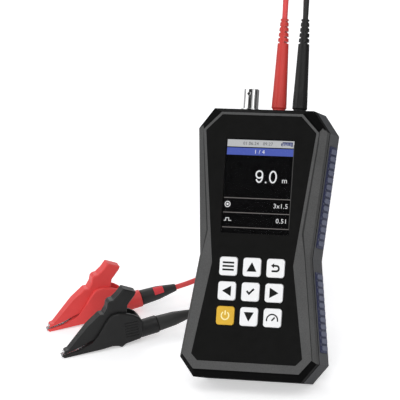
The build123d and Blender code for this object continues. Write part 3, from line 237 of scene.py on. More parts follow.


# Case plastic: faces that look along the case by END_SHARE are its ends and cut corners; the next value makes
# the edges paler, a painted highlight; and the borders of its bands of painted shade are soft over the last,
# in millimetres each way
END_SHARE = (0.2, 0.28)
EDGE_HIGHLIGHT_LIFT = 1.25
SHADE_BAND_BLUR = 0.08


def case_plastic(name, body, ends, lines):
    """Grained case plastic: ends and cut corners in a darker tone, paler edges as a painted highlight, and
    painted shade in bands at set heights over the back.
    """
    made = Tree(name)
    along = made.dot(made.coords.outputs["Normal"], ALONG)
    # Paler edges: a painted highlight
    tone = made.blend(made.edges(radius=0.5), body, toned(body, EDGE_HIGHLIGHT_LIFT))
    tone = made.blend(made.rise(along, *END_SHARE), tone, ends)
    tone = made.blend(made.fall(along, -END_SHARE[1], -END_SHARE[0]), tone, ends)
    height = made.height(METER.translation, OUT)
    # Painted shade: each band darkens the tone between its two heights over the back
    for low, high, shade in lines:
        above = made.rise(height, (low - SHADE_BAND_BLUR) * MM, (low + SHADE_BAND_BLUR) * MM)
        under = made.fall(height, (high - SHADE_BAND_BLUR) * MM, (high + SHADE_BAND_BLUR) * MM)
        tone = made.blend(made.product(above, under), tone, rgb(shade, shade, shade), "MULTIPLY")
    fleck = made.spread(made.noise(scale=1500.0, detail=2.0), 0.86, 1.12)
    drift = made.spread(made.noise(scale=45.0), 0.92, 1.07)
    made.colour(made.blend(1.0, made.blend(1.0, tone, drift, "MULTIPLY"), fleck, "MULTIPLY"))
    made.roughness(scale=260.0, middle=0.62, reach=0.07)
    made.set(Specular_IOR_Level=0.03)
    made.bump(made.noise(scale=2600.0, detail=3.0), strength=0.3, depth=0.05, edge=0.35)
    return made.material


# Grips: the ribs rise out of the strip's base to these heights over the case's side; the valleys below them
# get painted shade
GRIP_BASE = 0.5
GRIP_RIB = 1.3
RIB_MARGIN = 0.1
RIB_BLUE = rgb(0.108, 0.119, 0.178)
VALLEY_SHADE_BLUE = rgb(0.030, 0.034, 0.080)


def grip_rubber(name, foot, outward):
    """Grip rubber on a side of the case, with painted shade in the valleys and the ribs paler."""
    made = Tree(name)
    ribs = made.rise(made.height(foot, outward), (GRIP_BASE + RIB_MARGIN) * MM, (GRIP_RIB - RIB_MARGIN) * MM)
    speckle = made.spread(made.noise(scale=900.0), 0.86, 1.14)
    # Valleys darker than the ribs: painted shade
    made.colour(made.blend(1.0, made.blend(ribs, VALLEY_SHADE_BLUE, RIB_BLUE), speckle, "MULTIPLY"))
    made.roughness(scale=300.0, middle=0.62, reach=0.08)
    made.set(Specular_IOR_Level=0.2)
    made.bump(made.noise(scale=2200.0, detail=3.0), strength=0.4, depth=0.05, edge=0.3)
    return made.material


PIXEL_GRID = 5600.0


def lit(name, colour):
    """A lit area of the display, with the faint grid of its pixels."""
    made = Tree(name)
    made.set(Base_Color=toned(colour, 0.1), Roughness=0.4, Specular_IOR_Level=0.1, Emission_Strength=1.0)
    grid = made.node("ShaderNodeTexChecker")
    grid.inputs["Scale"].default_value = PIXEL_GRID
    made.link(made.coords.outputs["Object"], grid.inputs["Vector"])
    glow = made.blend(grid.outputs["Fac"], colour, toned(colour, 0.94))
    made.link(glow, made.shader.inputs["Emission Color"])
    return made.material


def lens_plastic(name):
    """Clear hard-coated lens: nearly invisible, with a soft gloss."""
    made = Tree(name)
    made.set(Base_Color=rgb(0.01, 0.01, 0.011), Alpha=0.1, Specular_IOR_Level=0.2)
    made.roughness(scale=300.0, middle=0.12, reach=0.04)
    return made.material


# Plastics and rubbers: colour, roughness, scale and depth of the grain, radius of the edges, colour drift,
# specular level and the edges' painted tone (above 1 a painted highlight, below 1 painted shade)
PLASTICS = {
    "panel_film": (rgb(0.0048, 0.0048, 0.0046), 0.4, 3200.0, 0.02, 0.1, 0.08, 0.07, 2.0),
    # The keys' edges are darker: painted shade
    "key_white": (rgb(0.87, 0.87, 0.87), 0.45, 2400.0, 0.03, 0.4, 0.02, 0.15, 0.55),
    "key_amber": (rgb(0.73, 0.44, 0.045), 0.45, 2400.0, 0.03, 0.4, 0.07, 0.15, 0.6),
    "clip_red": (rgb(0.84, 0.077, 0.074), 0.44, 1500.0, 0.06, 0.5, 0.05, 0.3, 1.15),
    "clip_black": (rgb(0.0125, 0.0125, 0.0125), 0.44, 1500.0, 0.06, 0.5, 0.12, 0.22, 1.5),
    "plug_red": (rgb(0.56, 0.042, 0.033), 0.4, 1400.0, 0.04, 0.3, 0.06, 0.35, 1.2),
    "plug_black": (rgb(0.009, 0.009, 0.009), 0.4, 1400.0, 0.04, 0.3, 0.12, 0.22, 1.5),
    "plug_gray": (rgb(0.031, 0.031, 0.030), 0.48, 1500.0, 0.06, 0.3, 0.12, 0.22, 1.2),
    "lead_red": (rgb(0.72, 0.076, 0.076), 0.5, 900.0, 0.03, 0.0, 0.08, 0.3, 1.0),
    "lead_black": (rgb(0.012, 0.012, 0.012), 0.5, 900.0, 0.03, 0.0, 0.08, 0.3, 1.0),
    "mark_red": (rgb(0.78, 0.055, 0.068), 0.45, 1800.0, 0.02, 0.2, 0.06, 0.3, 1.2),
    "insulator_white": (rgb(0.8, 0.79, 0.75), 0.5, 1500.0, 0.02, 0.1, 0.04, 0.3, 1.2),
    "board_green": (rgb(0.03, 0.16, 0.06), 0.45, 500.0, 0.05, 0.0, 0.2, 0.3, 1.0),
    "battery_film": (rgb(0.05, 0.06, 0.09), 0.35, 800.0, 0.03, 0.3, 0.1, 0.3, 1.2),
    "display_glass": (rgb(0.0016, 0.0016, 0.0017), 0.3, 2000.0, 0.01, 0.0, 0.05, 0.05, 1.0),
    "icon_black": (rgb(0.006, 0.006, 0.006), 0.5, 2000.0, 0.01, 0.0, 0.1, 0.1, 1.0),
    "icon_pale": (rgb(0.93, 0.84, 0.42), 0.5, 2000.0, 0.01, 0.0, 0.05, 0.1, 1.0),
}
# Metals: colour, roughness and scale of the lines
METALS = {
    "jack_chrome": (rgb(0.60, 0.60, 0.60), 0.12, 1800.0),
    "contact_steel": (rgb(0.30, 0.30, 0.31), 0.22, 1400.0),
    "screw_steel": (rgb(0.5, 0.5, 0.51), 0.32, 900.0),
    "contact_gold": (rgb(0.85, 0.62, 0.28), 0.25, 1200.0),
}
DISPLAY_COLOURS = {
    "lit_white": rgb(0.92, 0.93, 0.95),
    "lit_gray": rgb(0.56, 0.57, 0.58),
    "lit_blue": rgb(0.085, 0.125, 0.49),
    "lit_line": rgb(0.20, 0.185, 0.18),
    "lit_edge": rgb(0.072, 0.072, 0.070),
    "lit_dark": rgb(0.025, 0.026, 0.030),
    "lit_navy": rgb(0.035, 0.045, 0.15),
    "lit_cell": rgb(0.22, 0.24, 0.38),
}
FRONT_CASE = rgb(0.090, 0.090, 0.089)
FRONT_ENDS = rgb(0.0030, 0.0030, 0.0030)
REAR_CASE = rgb(0.090, 0.091, 0.095)
REAR_ENDS = toned(REAR_CASE, 0.8)

# Painted shade on the case, in bands, each with its two heights over the back and its shade: a painted shadow
# line under the rim, painted shade on the lip, and painted shade in the groove where the shells meet at
# PARTING
FACE_HEIGHT = meter_box("front_shell")[1].z
PARTING = FACE_HEIGHT - 8.5
GROOVE = 1.3
RIM_PAINTED_SHADOW = (FACE_HEIGHT - 0.75, FACE_HEIGHT - 0.2, 0.42)
LIP_PAINTED_SHADE = (PARTING, FACE_HEIGHT - 3.5, 0.78)
GROOVE_PAINTED_SHADE = (PARTING - GROOVE, PARTING, 0.12)

materials = {name: moulded(name, *values) for name, values in PLASTICS.items()}
materials.update({name: metal(name, *values) for name, values in METALS.items()})
materials.update({name: lit(name, colour) for name, colour in DISPLAY_COLOURS.items()})
materials["lens_clear"] = lens_plastic("lens_clear")
materials["case_plastic"] = case_plastic("case_plastic", FRONT_CASE, FRONT_ENDS, [LIP_PAINTED_SHADE, RIM_PAINTED_SHADOW])
materials["rear_plastic"] = case_plastic("rear_plastic", REAR_CASE, REAR_ENDS, [GROOVE_PAINTED_SHADE])

NODE_MATERIALS = {
    "front_shell": "case_plastic",
    "rear_shell": "rear_plastic",
    "battery_cover": "rear_plastic",
    "stand": "rear_plastic",
    "face_panel": "panel_film",
    "display_lens": "lens_clear",
    "display_module": "display_glass",
    "main_board": "board_green",
    "battery_pack": "battery_film",
    "power_key": "key_amber",
    "bnc_jack": "jack_chrome",
    "bnc_insulator": "insulator_white",
    "bnc_contact": "contact_gold",
}
for colour in ("red", "black"):
    NODE_MATERIALS[f"{colour}_clip_plug"] = "plug_gray"
    for part in ("socket", "meter_plug"):
        NODE_MATERIALS[f"{colour}_{part}"] = f"plug_{colour}"
    for part in ("clip_body", "clip_jaw"):
        NODE_MATERIALS[f"{colour}_{part}"] = f"clip_{colour}"

# What the other nodes are made of, by the end of their names
NAME_ENDS = {
    ("_key",): "key_white",
    ("_contact",): "contact_steel",
    ("pin", "screws", "screw", "spring", "domes"): "screw_steel",
}
for name in nodes:
    for ends, material in NAME_ENDS.items():
        if name.endswith(ends):
            NODE_MATERIALS.setdefault(name, material)

# Each grip lies on a straight side of the case, from one of these corners to the next
WAIST = (35.6, 76.1)
SHOULDER = (41.75, 154.2)
HIP = (44.3, 12.0)
for level, (low, high) in {"upper": (WAIST, SHOULDER), "lower": (HIP, WAIST)}.items():
    run = Vector((high[0] - low[0], high[1] - low[1])).normalized()
    for side_name, side in {"left": -1, "right": 1}.items():
        outward = METER.to_3x3() @ Vector((side * run.y, -run.x, 0))
        foot = METER @ (Vector((side * low[0], low[1], 0)) * MM)
        grip = f"grip_{level}_{side_name}"
        materials[grip] = grip_rubber(grip, foot, outward)
        NODE_MATERIALS[f"{level}_{side_name}_grip"] = grip

for name, material in NODE_MATERIALS.items():
    mesh = nodes[name].data
    mesh.materials.clear()
    mesh.materials.append(materials[material])

# Printed and lit shapes are thin flat pieces a little above the surface that carries them
PRINT_THICK = 0.03
PRINT_LIFT = 0.04
ARC_STEPS = 24


def place_flat(name, curve, level, material, body):
    """A thin shape laid parallel to the meter's face, at a height over its back."""
    curve.extrude = PRINT_THICK / 2 * MM
    curve.materials.append(materials[material])
    piece = add(name, curve)
    piece.matrix_world = METER @ Matrix.Translation((0, 0, (level + PRINT_LIFT + PRINT_THICK / 2) * MM))
    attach(piece, body)
    return piece


def flat_piece(name, outlines, level, material, body):
    """A thin shape from closed outlines in the meter's own frame, holes included."""
    curve = bpy.data.curves.new(name, "CURVE")
    curve.dimensions = "2D"
    curve.fill_mode = "BOTH"
    for outline in outlines:
        spline = curve.splines.new("POLY")
        spline.points.add(len(outline) - 1)
        for point, (x, y) in zip(spline.points, outline):
            point.co = (x * MM, y * MM, 0, 1)
        spline.use_cyclic_u = True
    place_flat(name, curve, level, material, body)


def arc(radius, start, end, middle=(0, 0), steps=ARC_STEPS):
    points = []
    for index in range(steps + 1):
        angle = math.radians(start + (end - start) * index / steps)
        points.append((middle[0] + radius * math.cos(angle), middle[1] + radius * math.sin(angle)))
    return points


def circle(radius, middle):
    """A full turn, whose last point isn't the first again."""
    return arc(radius, 0, 360 * (ARC_STEPS - 1) / ARC_STEPS, middle, ARC_STEPS - 1)


def band(radius, width, start, end, middle=(0, 0)):
    """A bent bar: an arc with a width."""
    return arc(radius + width / 2, start, end, middle) + arc(radius - width / 2, end, start, middle)


def bar(x, y, width, height):
    return [
        (x - width / 2, y - height / 2), (x + width / 2, y - height / 2),
        (x + width / 2, y + height / 2), (x - width / 2, y + height / 2),
    ]


def turned(points, angle, middle=(0, 0)):
    cosine = math.cos(math.radians(angle))
    sine = math.sin(math.radians(angle))
    return [(middle[0] + x * cosine - y * sine, middle[1] + x * sine + y * cosine) for x, y in points]


def moved(points, shift):
    return [(x + shift[0], y + shift[1]) for x, y in points]


# Key symbols, each drawn about the middle of its key
ARROW = [(3.2, -2.75), (-3.2, -2.75), (-0.15, 2.8), (0.15, 2.8)]
MENU_WIDTH = 7.4
MENU_STROKE = 1.1
MENU_STEP = 2.2
CHECK_MARK = [(-2.7, 0.1), (-1.9, 0.95), (-0.7, -0.3), (1.9, 2.35), (2.75, 1.5), (-0.7, -2.0)]
BEND_MIDDLE = (0.6, -0.2)
BEND_OUTER = 2.25
BEND_INNER = 1.1
BACK_HEAD = [(-0.9, 2.05), (-0.9, 3.0), (-2.9, 1.5), (-0.9, 0.0), (-0.9, 0.9)]
BACK_TAIL = [(-2.3, -1.3), (-2.3, -2.45)]
POWER_RADIUS = 2.45
POWER_STROKE = 0.85
POWER_SPAN = (125, 415)
POWER_BAR_MIDDLE = 1.75
POWER_BAR_LENGTH = 2.7
DIAL_MIDDLE = (0, -1.4)
DIAL_RADIUS = 3.55
DIAL_STROKE = 0.8
DIAL_SPAN = (-12, 192)
NEEDLE_MIDDLE = 0.95
NEEDLE_WIDTH = 0.9
NEEDLE_LENGTH = 2.9
NEEDLE_ANGLE = -43
SYMBOLS = {
    "up_key": [ARROW],
    "down_key": [turned(ARROW, 180)],
    "left_key": [turned(ARROW, 90)],
    "right_key": [turned(ARROW, -90)],
    "menu_key": [bar(0, row * MENU_STEP, MENU_WIDTH, MENU_STROKE) for row in (1, 0, -1)],
    "enter_key": [CHECK_MARK],
    "back_key": [
        arc(BEND_OUTER, -90, 90, BEND_MIDDLE) + BACK_HEAD + arc(BEND_INNER, 90, -90, BEND_MIDDLE) + BACK_TAIL,
    ],
    "power_key": [
        band(POWER_RADIUS, POWER_STROKE, *POWER_SPAN),
        bar(0, POWER_BAR_MIDDLE, POWER_STROKE, POWER_BAR_LENGTH),
    ],
    "measure_key": [
        band(DIAL_RADIUS, DIAL_STROKE, *DIAL_SPAN, DIAL_MIDDLE),
        turned(bar(0, NEEDLE_MIDDLE, NEEDLE_WIDTH, NEEDLE_LENGTH), NEEDLE_ANGLE, DIAL_MIDDLE),
    ],
}
for key, outlines in SYMBOLS.items():
    low, high = meter_box(key)
    middle = (low + high) / 2
    material = "icon_pale" if key == "power_key" else "icon_black"
    for index, outline in enumerate(outlines):
        flat_piece(f"{key}_symbol_{index}", [moved(outline, middle)], high.z, material, key)

# Display picture behind the lens, in three layers: depths count down from the upper edge of the lens
screen_low, screen_high = meter_box("display_lens")
PICTURE_MARGIN = 0.45
PICTURE_WIDTH = screen_high.x - screen_low.x - 2 * PICTURE_MARGIN
LAYER = 0.12
FIRST = meter_box("display_module")[1].z
SECOND = FIRST + LAYER
THIRD = SECOND + LAYER


def lit_piece(name, outlines, layer, material):
    flat_piece(name, outlines, layer, material, "meter")


def below(depth):
    return screen_high.y - depth


# Bars across the picture and the lines that part its rows
STATUS_DEPTH = 2.75
STATUS_HEIGHT = 4.4
TITLE_DEPTH = 7.8
TITLE_HEIGHT = 4.5
DIVIDER_DEPTHS = (36.75, 45.8, 55.0)
DIVIDER_HEIGHT = 0.45
EDGE_WIDTH = 0.5
EDGE_LENGTH = DIVIDER_DEPTHS[-1] - STATUS_DEPTH
EDGE_MIDDLE = (PICTURE_WIDTH / 2, below(STATUS_DEPTH + EDGE_LENGTH / 2))
lit_piece("status_bar", [bar(0, below(STATUS_DEPTH), PICTURE_WIDTH, STATUS_HEIGHT)], FIRST, "lit_gray")
lit_piece("title_bar", [bar(0, below(TITLE_DEPTH), PICTURE_WIDTH, TITLE_HEIGHT)], FIRST, "lit_blue")
for index, depth in enumerate(DIVIDER_DEPTHS):
    lit_piece(f"divider_{index}", [bar(0, below(depth), PICTURE_WIDTH, DIVIDER_HEIGHT)], FIRST, "lit_line")
lit_piece("picture_edge", [bar(*EDGE_MIDDLE, EDGE_WIDTH, EDGE_LENGTH)], SECOND, "lit_edge")

# Battery sign in the status bar
BATTERY_MIDDLE = (17.4, below(STATUS_DEPTH))
BATTERY_SIZE = (6.6, 2.8)
TIP_PLACE = -3.7
TIP_SIZE = (0.9, 1.3)
CELL_PLACES = (-2, 0, 2)
CELL_SIZE = (1.5, 1.7)
battery = [bar(0, 0, *BATTERY_SIZE), bar(TIP_PLACE, 0, *TIP_SIZE)]
cells = [bar(place, 0, *CELL_SIZE) for place in CELL_PLACES]
lit_piece("battery_sign", [moved(outline, BATTERY_MIDDLE) for outline in battery], SECOND, "lit_navy")
lit_piece("battery_cells", [moved(outline, BATTERY_MIDDLE) for outline in cells], THIRD, "lit_cell")

# Plain figures: text, depth of the base line, height, material, and the end that has a set place
FIGURE_THINNING = 0.012
FIGURE_SPACING = 1.08
FIGURES = {
    "reading_unit": ("m", 26.7, 2.2, "lit_white", "left", 15.3),
    "cable_value": ("3x1.5", 42.3, 2.8, "lit_white", "right", 19.9),
    "speed_value": ("0.51", 51.5, 2.8, "lit_white", "right", 19.4),
    "clock": ("01.06.24   09:27", 3.7, 1.9, "lit_dark", "left", -11.3),
    "page": ("1 / 4", 9.0, 2.4, "lit_white", "left", -3.2),
}
for name, (text, depth, height, material, end, place) in FIGURES.items():
    curve = bpy.data.curves.new(name, "FONT")
    curve.body = text
    curve.size = MM
    curve.space_character = FIGURE_SPACING
    figure = place_flat(name, curve, SECOND, material, "meter")
    bpy.context.view_layer.update()
    low, high = box_round(figure.bound_box)
    scale = height * MM / (high.y - low.y)
    start = place * MM
    if end == "right":
        start -= (high.x - low.x) * scale
    curve.size = MM * scale
    curve.offset = -FIGURE_THINNING * MM
    curve.offset_x = start - low.x * scale
    curve.offset_y = below(depth) * MM - low.y * scale

# The large reading: each figure fills an oval of one size, drawn with one stroke
FIGURE_HALF_WIDTH = 2.5
FIGURE_HALF_HEIGHT = 3.9
FIGURE_STROKE = 0.9
BOWL_HALF_HEIGHT = 2.6
READING_DEPTH = 23.1
NINE = (0.4, below(READING_DEPTH))
ZERO = (9.3, below(READING_DEPTH))
POINT = (4.75, below(READING_DEPTH + FIGURE_HALF_HEIGHT - FIGURE_STROKE / 2))
BOWL = (NINE[0], NINE[1] + FIGURE_HALF_HEIGHT - BOWL_HALF_HEIGHT)
READING = {
    "zero_left": (FIGURE_HALF_HEIGHT, 90, 270, ZERO),
    "zero_right": (FIGURE_HALF_HEIGHT, -90, 90, ZERO),
    "nine_left": (BOWL_HALF_HEIGHT, 90, 270, BOWL),
    "nine_right": (BOWL_HALF_HEIGHT, -90, 90, BOWL),
    "nine_tail": (FIGURE_HALF_HEIGHT, 20, -152, NINE),
}


def oval(half_width, half_height, start, end, middle):
    return moved([(x * half_width, y * half_height) for x, y in arc(1, start, end)], middle)


for name, (half_height, start, end, middle) in READING.items():
    outer = oval(FIGURE_HALF_WIDTH, half_height, start, end, middle)
    inner = oval(FIGURE_HALF_WIDTH - FIGURE_STROKE, half_height - FIGURE_STROKE, end, start, middle)
    lit_piece(name, [outer + inner], SECOND, "lit_white")
lit_piece("reading_point", [moved(bar(0, 0, FIGURE_STROKE, FIGURE_STROKE), POINT)], SECOND, "lit_white")

# Signs in front of the two rows: a cable's cut end and a pulse
CABLE_MIDDLE = (-19.0, below(40.8))
CABLE_RADII = (1.9, 1.4)
CORE_RADIUS = 0.7
PULSE_MIDDLE = (-18.4, below(50.2))
PULSE = [
    (-2.4, -0.9), (-1.0, -0.9), (-1.0, 0.7), (0.6, 0.7), (0.6, -0.9), (2.4, -0.9), (2.4, -0.5),
    (1.0, -0.5), (1.0, 1.1), (-1.4, 1.1), (-1.4, -0.5), (-2.4, -0.5),
]
lit_piece("cable_ring", [circle(radius, CABLE_MIDDLE) for radius in CABLE_RADII], SECOND, "lit_white")
lit_piece("cable_core", [circle(CORE_RADIUS, CABLE_MIDDLE)], SECOND, "lit_white")
lit_piece("speed_pulse", [moved(PULSE, PULSE_MIDDLE)], SECOND, "lit_white")

# Leads: the length in metres of each, and one smooth line from the meter's plug to the clip's plug, near the
# CAD route; both come down behind the meter where the plugs hide them from the photograph's side
LEAD_DIAMETER = 3.4
LEADS = {
    "red": (0.4155, [
        (5.1, 71.58, 201.29), (5.1, 81.58, 218.61), (2, 100, 235), (-5, 127, 239), (-16, 154, 226),
        (-24, 170, 200), (-28.7, 172, 167), (-32.6, 167, 134), (-36, 161, 105), (-41.5, 158, 75),
        (-46, 156, 47), (-50, 150, 22), (-54, 138, 6), (-57, 122, 1.8), (-59, 112, 1.9), (-62, 103, 7),
        (-67.5, 94, 12.8), (-78.91, 79.12, 10.94), (-89.48, 71.61, 9.92),
    ]),
    "black": (0.4233, [
        (18.6, 71.58, 201.29), (18.6, 81.58, 218.61), (16, 99, 233), (8, 123, 235), (-2, 148, 220),
        (-7.8, 160, 196), (-11.5, 161, 166), (-15.3, 156, 134), (-18.7, 151, 105), (-24.2, 148, 76),
        (-28, 145, 48), (-30, 138, 23), (-29, 124.5, 7), (-28, 107, 1.8), (-29.5, 89, 1.8), (-34.5, 72, 3),
        (-43, 57, 9), (-55.41, 44.52, 10.94), (-65.98, 37.01, 9.92),
    ]),
}
CLIP_PARTS = ("clip_plug", "clip_body", "clip_jaw", "clip_pin", "lower_contact", "upper_contact")
WIRE_ROUNDNESS = 6
WIRE_STEPS = 10


def wire(name, points, diameter, kind, material):
    """A round wire along one open line, with its points and diameter in millimetres."""
    curve = bpy.data.curves.new(name, "CURVE")
    curve.dimensions = "3D"
    curve.bevel_depth = diameter / 2 * MM
    curve.bevel_resolution = WIRE_ROUNDNESS
    curve.resolution_u = WIRE_STEPS
    curve.use_fill_caps = True
    curve.materials.append(materials[material])
    spline = curve.splines.new(kind)
    spline.points.add(len(points) - 1)
    for point, place in zip(spline.points, points):
        point.co = (*(value * MM for value in place), 1)
    if kind == "NURBS":
        spline.order_u = 3
        spline.use_endpoint_u = True
    return add(name, curve)


# Clip springs: wire wound round each clip's pin, with a leg down into the clip's slot; they turn with the jaw
SPRING_WIRE = 0.9
SPRING_COIL_RADIUS = 2.8
SPRING_HALF_WIDTH = 1.5
SPRING_TURNS = 3
SPRING_STEPS = 20
SPRING_REACH = 6.6
LEG_SHARE = 0.9
hinges = {joint["name"]: joint for joint in frame["record"]["behaviour"]["joints"]}


def clip_spring(colour):
    """The spring of one clip: its leg points the way that the CAD spring's leg does."""
    hinge = hinges[f"{colour}_jaw_hinge"]
    pivot = Vector(hinge["pos_m"]) / MM
    axis = Vector(hinge["axis"]).normalized()
    spokes = [vertex.co / MM - pivot for vertex in nodes[f"{colour}_clip_spring"].data.vertices]
    spokes = [spoke - axis * spoke.dot(axis) for spoke in spokes]
    longest = max(spoke.length for spoke in spokes)
    leg = sum((spoke for spoke in spokes if spoke.length > LEG_SHARE * longest), Vector()).normalized()
    side = axis.cross(leg)
    turns = []
    for step in range(SPRING_TURNS * SPRING_STEPS + 1):
        turn = step / SPRING_STEPS
        spoke = leg * math.cos(math.tau * turn) + side * math.sin(math.tau * turn)
        shift = SPRING_HALF_WIDTH * (2 * turn / SPRING_TURNS - 1)
        turns.append(pivot + spoke * SPRING_COIL_RADIUS + axis * shift)
    turns.append(turns[-1] + leg * (SPRING_REACH - SPRING_COIL_RADIUS))
    spring = wire(f"{colour}_spring_wire", turns, SPRING_WIRE, "POLY", "screw_steel")
    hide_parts(f"{colour}_clip_spring")
    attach(spring, f"{colour}_jaw")
    return spring


for colour, (length, points) in LEADS.items():
    lead = wire(f"{colour}_lead_line", points, LEAD_DIAMETER, "NURBS", f"lead_{colour}")
    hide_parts(f"{colour}_lead")
    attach(lead, "meter")
    clip_pieces = [nodes[f"{colour}_{part}"] for part in CLIP_PARTS]
    clip_pieces.append(clip_spring(colour))

# The camera's own directions
ABOUT_RIGHT = Vector((0.943, 0.3156, -0.1054)).normalized()
TOWARDS = Vector((0.3315, -0.8544, 0.4076)).normalized()
IMAGE_UP = TOWARDS.cross(ABOUT_RIGHT).normalized()
IMAGE_RIGHT = IMAGE_UP.cross(TOWARDS).normalized()

# Red mark on the gray plug of the red clip: a thin skin over the part of the tapered plug that the photograph
# shows; each ring has its place along the plug and its radius
PLUG_LENGTH = 24.4
MARK_RINGS = [(9.2, 4.65), (12.0, 4.5), (15.7, 3.87)]
MARK_ANGLES = (-12.0, 59.0)
MARK_STEPS = 12
MARK_THICK = 0.25
lead_points = LEADS["red"][1]
plug_end = Vector(lead_points[-1])
plug_axis = (Vector(lead_points[-2]) - plug_end).normalized()
facing = (TOWARDS - plug_axis * TOWARDS.dot(plug_axis)).normalized()
over = facing.cross(plug_axis).normalized()
mark_points = []
mark_faces = []
for ring, (place, radius) in enumerate(MARK_RINGS):
    middle = plug_end + plug_axis * (place - PLUG_LENGTH)
    for step in range(MARK_STEPS + 1):
        angle = math.radians(MARK_ANGLES[0] + (MARK_ANGLES[1] - MARK_ANGLES[0]) * step / MARK_STEPS)
        spoke = facing * math.cos(angle) + over * math.sin(angle)
        mark_points.append(tuple((middle + spoke * (radius + MARK_THICK / 2)) * MM))
        if ring and step:
            corner = ring * (MARK_STEPS + 1) + step
            mark_faces.append((corner - MARK_STEPS - 2, corner - MARK_STEPS - 1, corner, corner - 1))
mark = add_mesh("red_plug_mark", mark_points, mark_faces, materials["mark_red"])
skin = mark.modifiers.new("skin", "SOLIDIFY")
skin.thickness = MARK_THICK * MM
skin.offset = 0.0
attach(mark, "meter")


def seen(tree):
    """1 for rays from the camera, and for those that metal or glass sends on, else 0."""
    rays = tree.nodes.new("ShaderNodeLightPath")
    found = rays.outputs["Is Camera Ray"]
    for name in ("Is Glossy Ray", "Is Transmission Ray"):
        either = tree.nodes.new("ShaderNodeMath")
        either.operation = "MAXIMUM"
        tree.links.new(found, either.inputs[0])
        tree.links.new(rays.outputs[name], either.inputs[1])
        found = either.outputs["Value"]
    return found


# White floor
FLOOR_HALF = 6.0
FLOOR_DROP = 0.0002
FLOOR_GLOW = 0.42
FLOOR_SIDES = ((-1, -1), (1, -1), (1, 1), (-1, 1))
floor_tree = Tree("floor_white")
floor_tree.set(
    Base_Color=rgb(0.93, 0.93, 0.93), Roughness=0.9, Specular_IOR_Level=0.1, Emission_Color=rgb(1, 1, 1),
)
floor_glow = floor_tree.product(seen(floor_tree.tree), FLOOR_GLOW)
floor_tree.link(floor_glow, floor_tree.shader.inputs["Emission Strength"])
floor_corners = [(x * FLOOR_HALF, y * FLOOR_HALF, -FLOOR_DROP) for x, y in FLOOR_SIDES]
floor = add_mesh("floor", floor_corners, [(0, 1, 2, 3)], floor_tree.material)

# Soft light all round, and a white background
SOFT_LIGHT = rgb(0.95, 0.96, 1.0)
SOFT_STRENGTH = 0.34
world = bpy.data.worlds.new("studio")
bpy.context.scene.world = world
world.use_nodes = True
world_tree = world.node_tree
background = world_tree.nodes["Background"]
background.inputs["Color"].default_value = SOFT_LIGHT
background.inputs["Strength"].default_value = SOFT_STRENGTH
white = world_tree.nodes.new("ShaderNodeBackground")
white.inputs["Color"].default_value = rgb(1, 1, 1)
choose = world_tree.nodes.new("ShaderNodeMixShader")
world_tree.links.new(seen(world_tree), choose.inputs["Fac"])
world_tree.links.new(background.outputs["Background"], choose.inputs[1])
world_tree.links.new(white.outputs["Background"], choose.inputs[2])
world_tree.links.new(choose.outputs["Shader"], world_tree.nodes["World Output"].inputs["Surface"])

# Studio lamps, all turned to the middle of the object: place and size in metres, and power in watts
LAMP_TARGET = Vector((0, 0, 0.08))
LAMPS = {
    "key_light": ((0.45, -1.0, 1.7), (1.0, 1.0), 9.0),
    "front_light": ((0.1, -1.6, 0.6), (0.9, 0.7), 8.0),
    "right_light": ((1.4, -0.5, 0.7), (0.8, 1.2), 4.0),
    "left_light": ((-1.3, -0.7, 0.8), (1.0, 1.2), 5.0),
    "back_light": ((-0.6, 1.1, 1.1), (0.8, 0.8), 6.0),
}
for name, (place, size, power) in LAMPS.items():
    light = bpy.data.lights.new(name, "AREA")
    light.shape = "RECTANGLE"
    light.size, light.size_y = size
    light.energy = power
    lamp = add(name, light)
    lamp.location = place
    lamp.rotation_euler = (LAMP_TARGET - lamp.location).to_track_quat("-Z", "Y").to_euler()

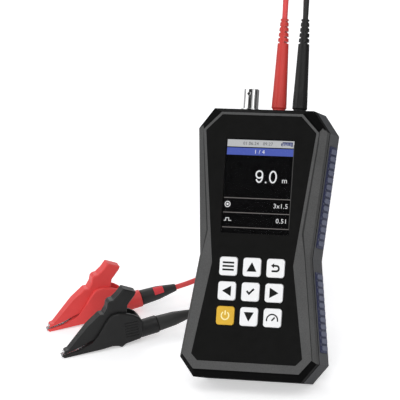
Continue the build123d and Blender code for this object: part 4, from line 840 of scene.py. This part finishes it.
# Cards round the meter that only mirrors show, so that the plated jack has its dark and bright streaks: the
# radius in metres of each, the angles from the face's direction where it starts and ends, and its tone
CARDS = {
    "front_card": (1.2, -24.0, 26.0, 0.05),
    "right_card": (0.3, 63.0, 176.0, 0.32),
    "left_card": (1.2, -160.0, -74.0, 0.72),
}
CARD_HALF = 0.4
CARD_STEPS = 12
CARD_FACES = [(2 * step, 2 * step + 1, 2 * step + 3, 2 * step + 2) for step in range(CARD_STEPS)]
jack_low, jack_high = meter_box("bnc_jack")
card_middle = METER @ ((jack_low + jack_high) / 2 * MM)
for name, (radius, start, end, tone) in CARDS.items():
    card_points = []
    for x, y in arc(radius, start, end, steps=CARD_STEPS):
        middle = card_middle + OUT * x + ACROSS * y
        card_points += [tuple(middle - ALONG * CARD_HALF), tuple(middle + ALONG * CARD_HALF)]
    card_tree = Tree(name)
    card_tree.set(Base_Color=rgb(tone, tone, tone), Roughness=0.9, Specular_IOR_Level=0.0)
    card = add_mesh(name, card_points, CARD_FACES, card_tree.material)
    card.visible_camera = False
    card.visible_diffuse = False
    card.visible_shadow = False
# Mirrors leave out the red plug next to the jack, which shows no red in the photograph
nodes["red_meter_plug"].visible_glossy = False

# Camera at the photograph's viewing angle: the middle of the enter key falls on its place in the image
IMAGE = 400.0
PIXELS_PER_MM = 1.6285
CAMERA_DISTANCE = 1.9
CAMERA_REACH = 50.0
ENTER_PIXEL = (250.5, 292.0)
SENSOR = 36.0
key_low, key_high = meter_box("enter_key")
panel_top = meter_box("face_panel")[1].z
enter_place = METER @ (Vector((0, (key_low.y + key_high.y) / 2, panel_top)) * MM)
aim = enter_place - IMAGE_RIGHT * ((ENTER_PIXEL[0] - IMAGE / 2) / PIXELS_PER_MM * MM)
aim += IMAGE_UP * ((ENTER_PIXEL[1] - IMAGE / 2) / PIXELS_PER_MM * MM)
camera_data = bpy.data.cameras.new("camera")
camera_data.sensor_fit = "HORIZONTAL"
camera_data.sensor_width = SENSOR
camera_data.lens = SENSOR * CAMERA_DISTANCE / (IMAGE / PIXELS_PER_MM * MM)
camera_data.clip_end = CAMERA_REACH
camera = add("camera", camera_data)
camera_turn = Matrix((IMAGE_RIGHT, IMAGE_UP, TOWARDS)).transposed().to_4x4()
camera.matrix_world = Matrix.Translation(aim + TOWARDS * CAMERA_DISTANCE) @ camera_turn
bpy.context.scene.camera = camera
bpy.context.scene.view_settings.view_transform = "Standard"
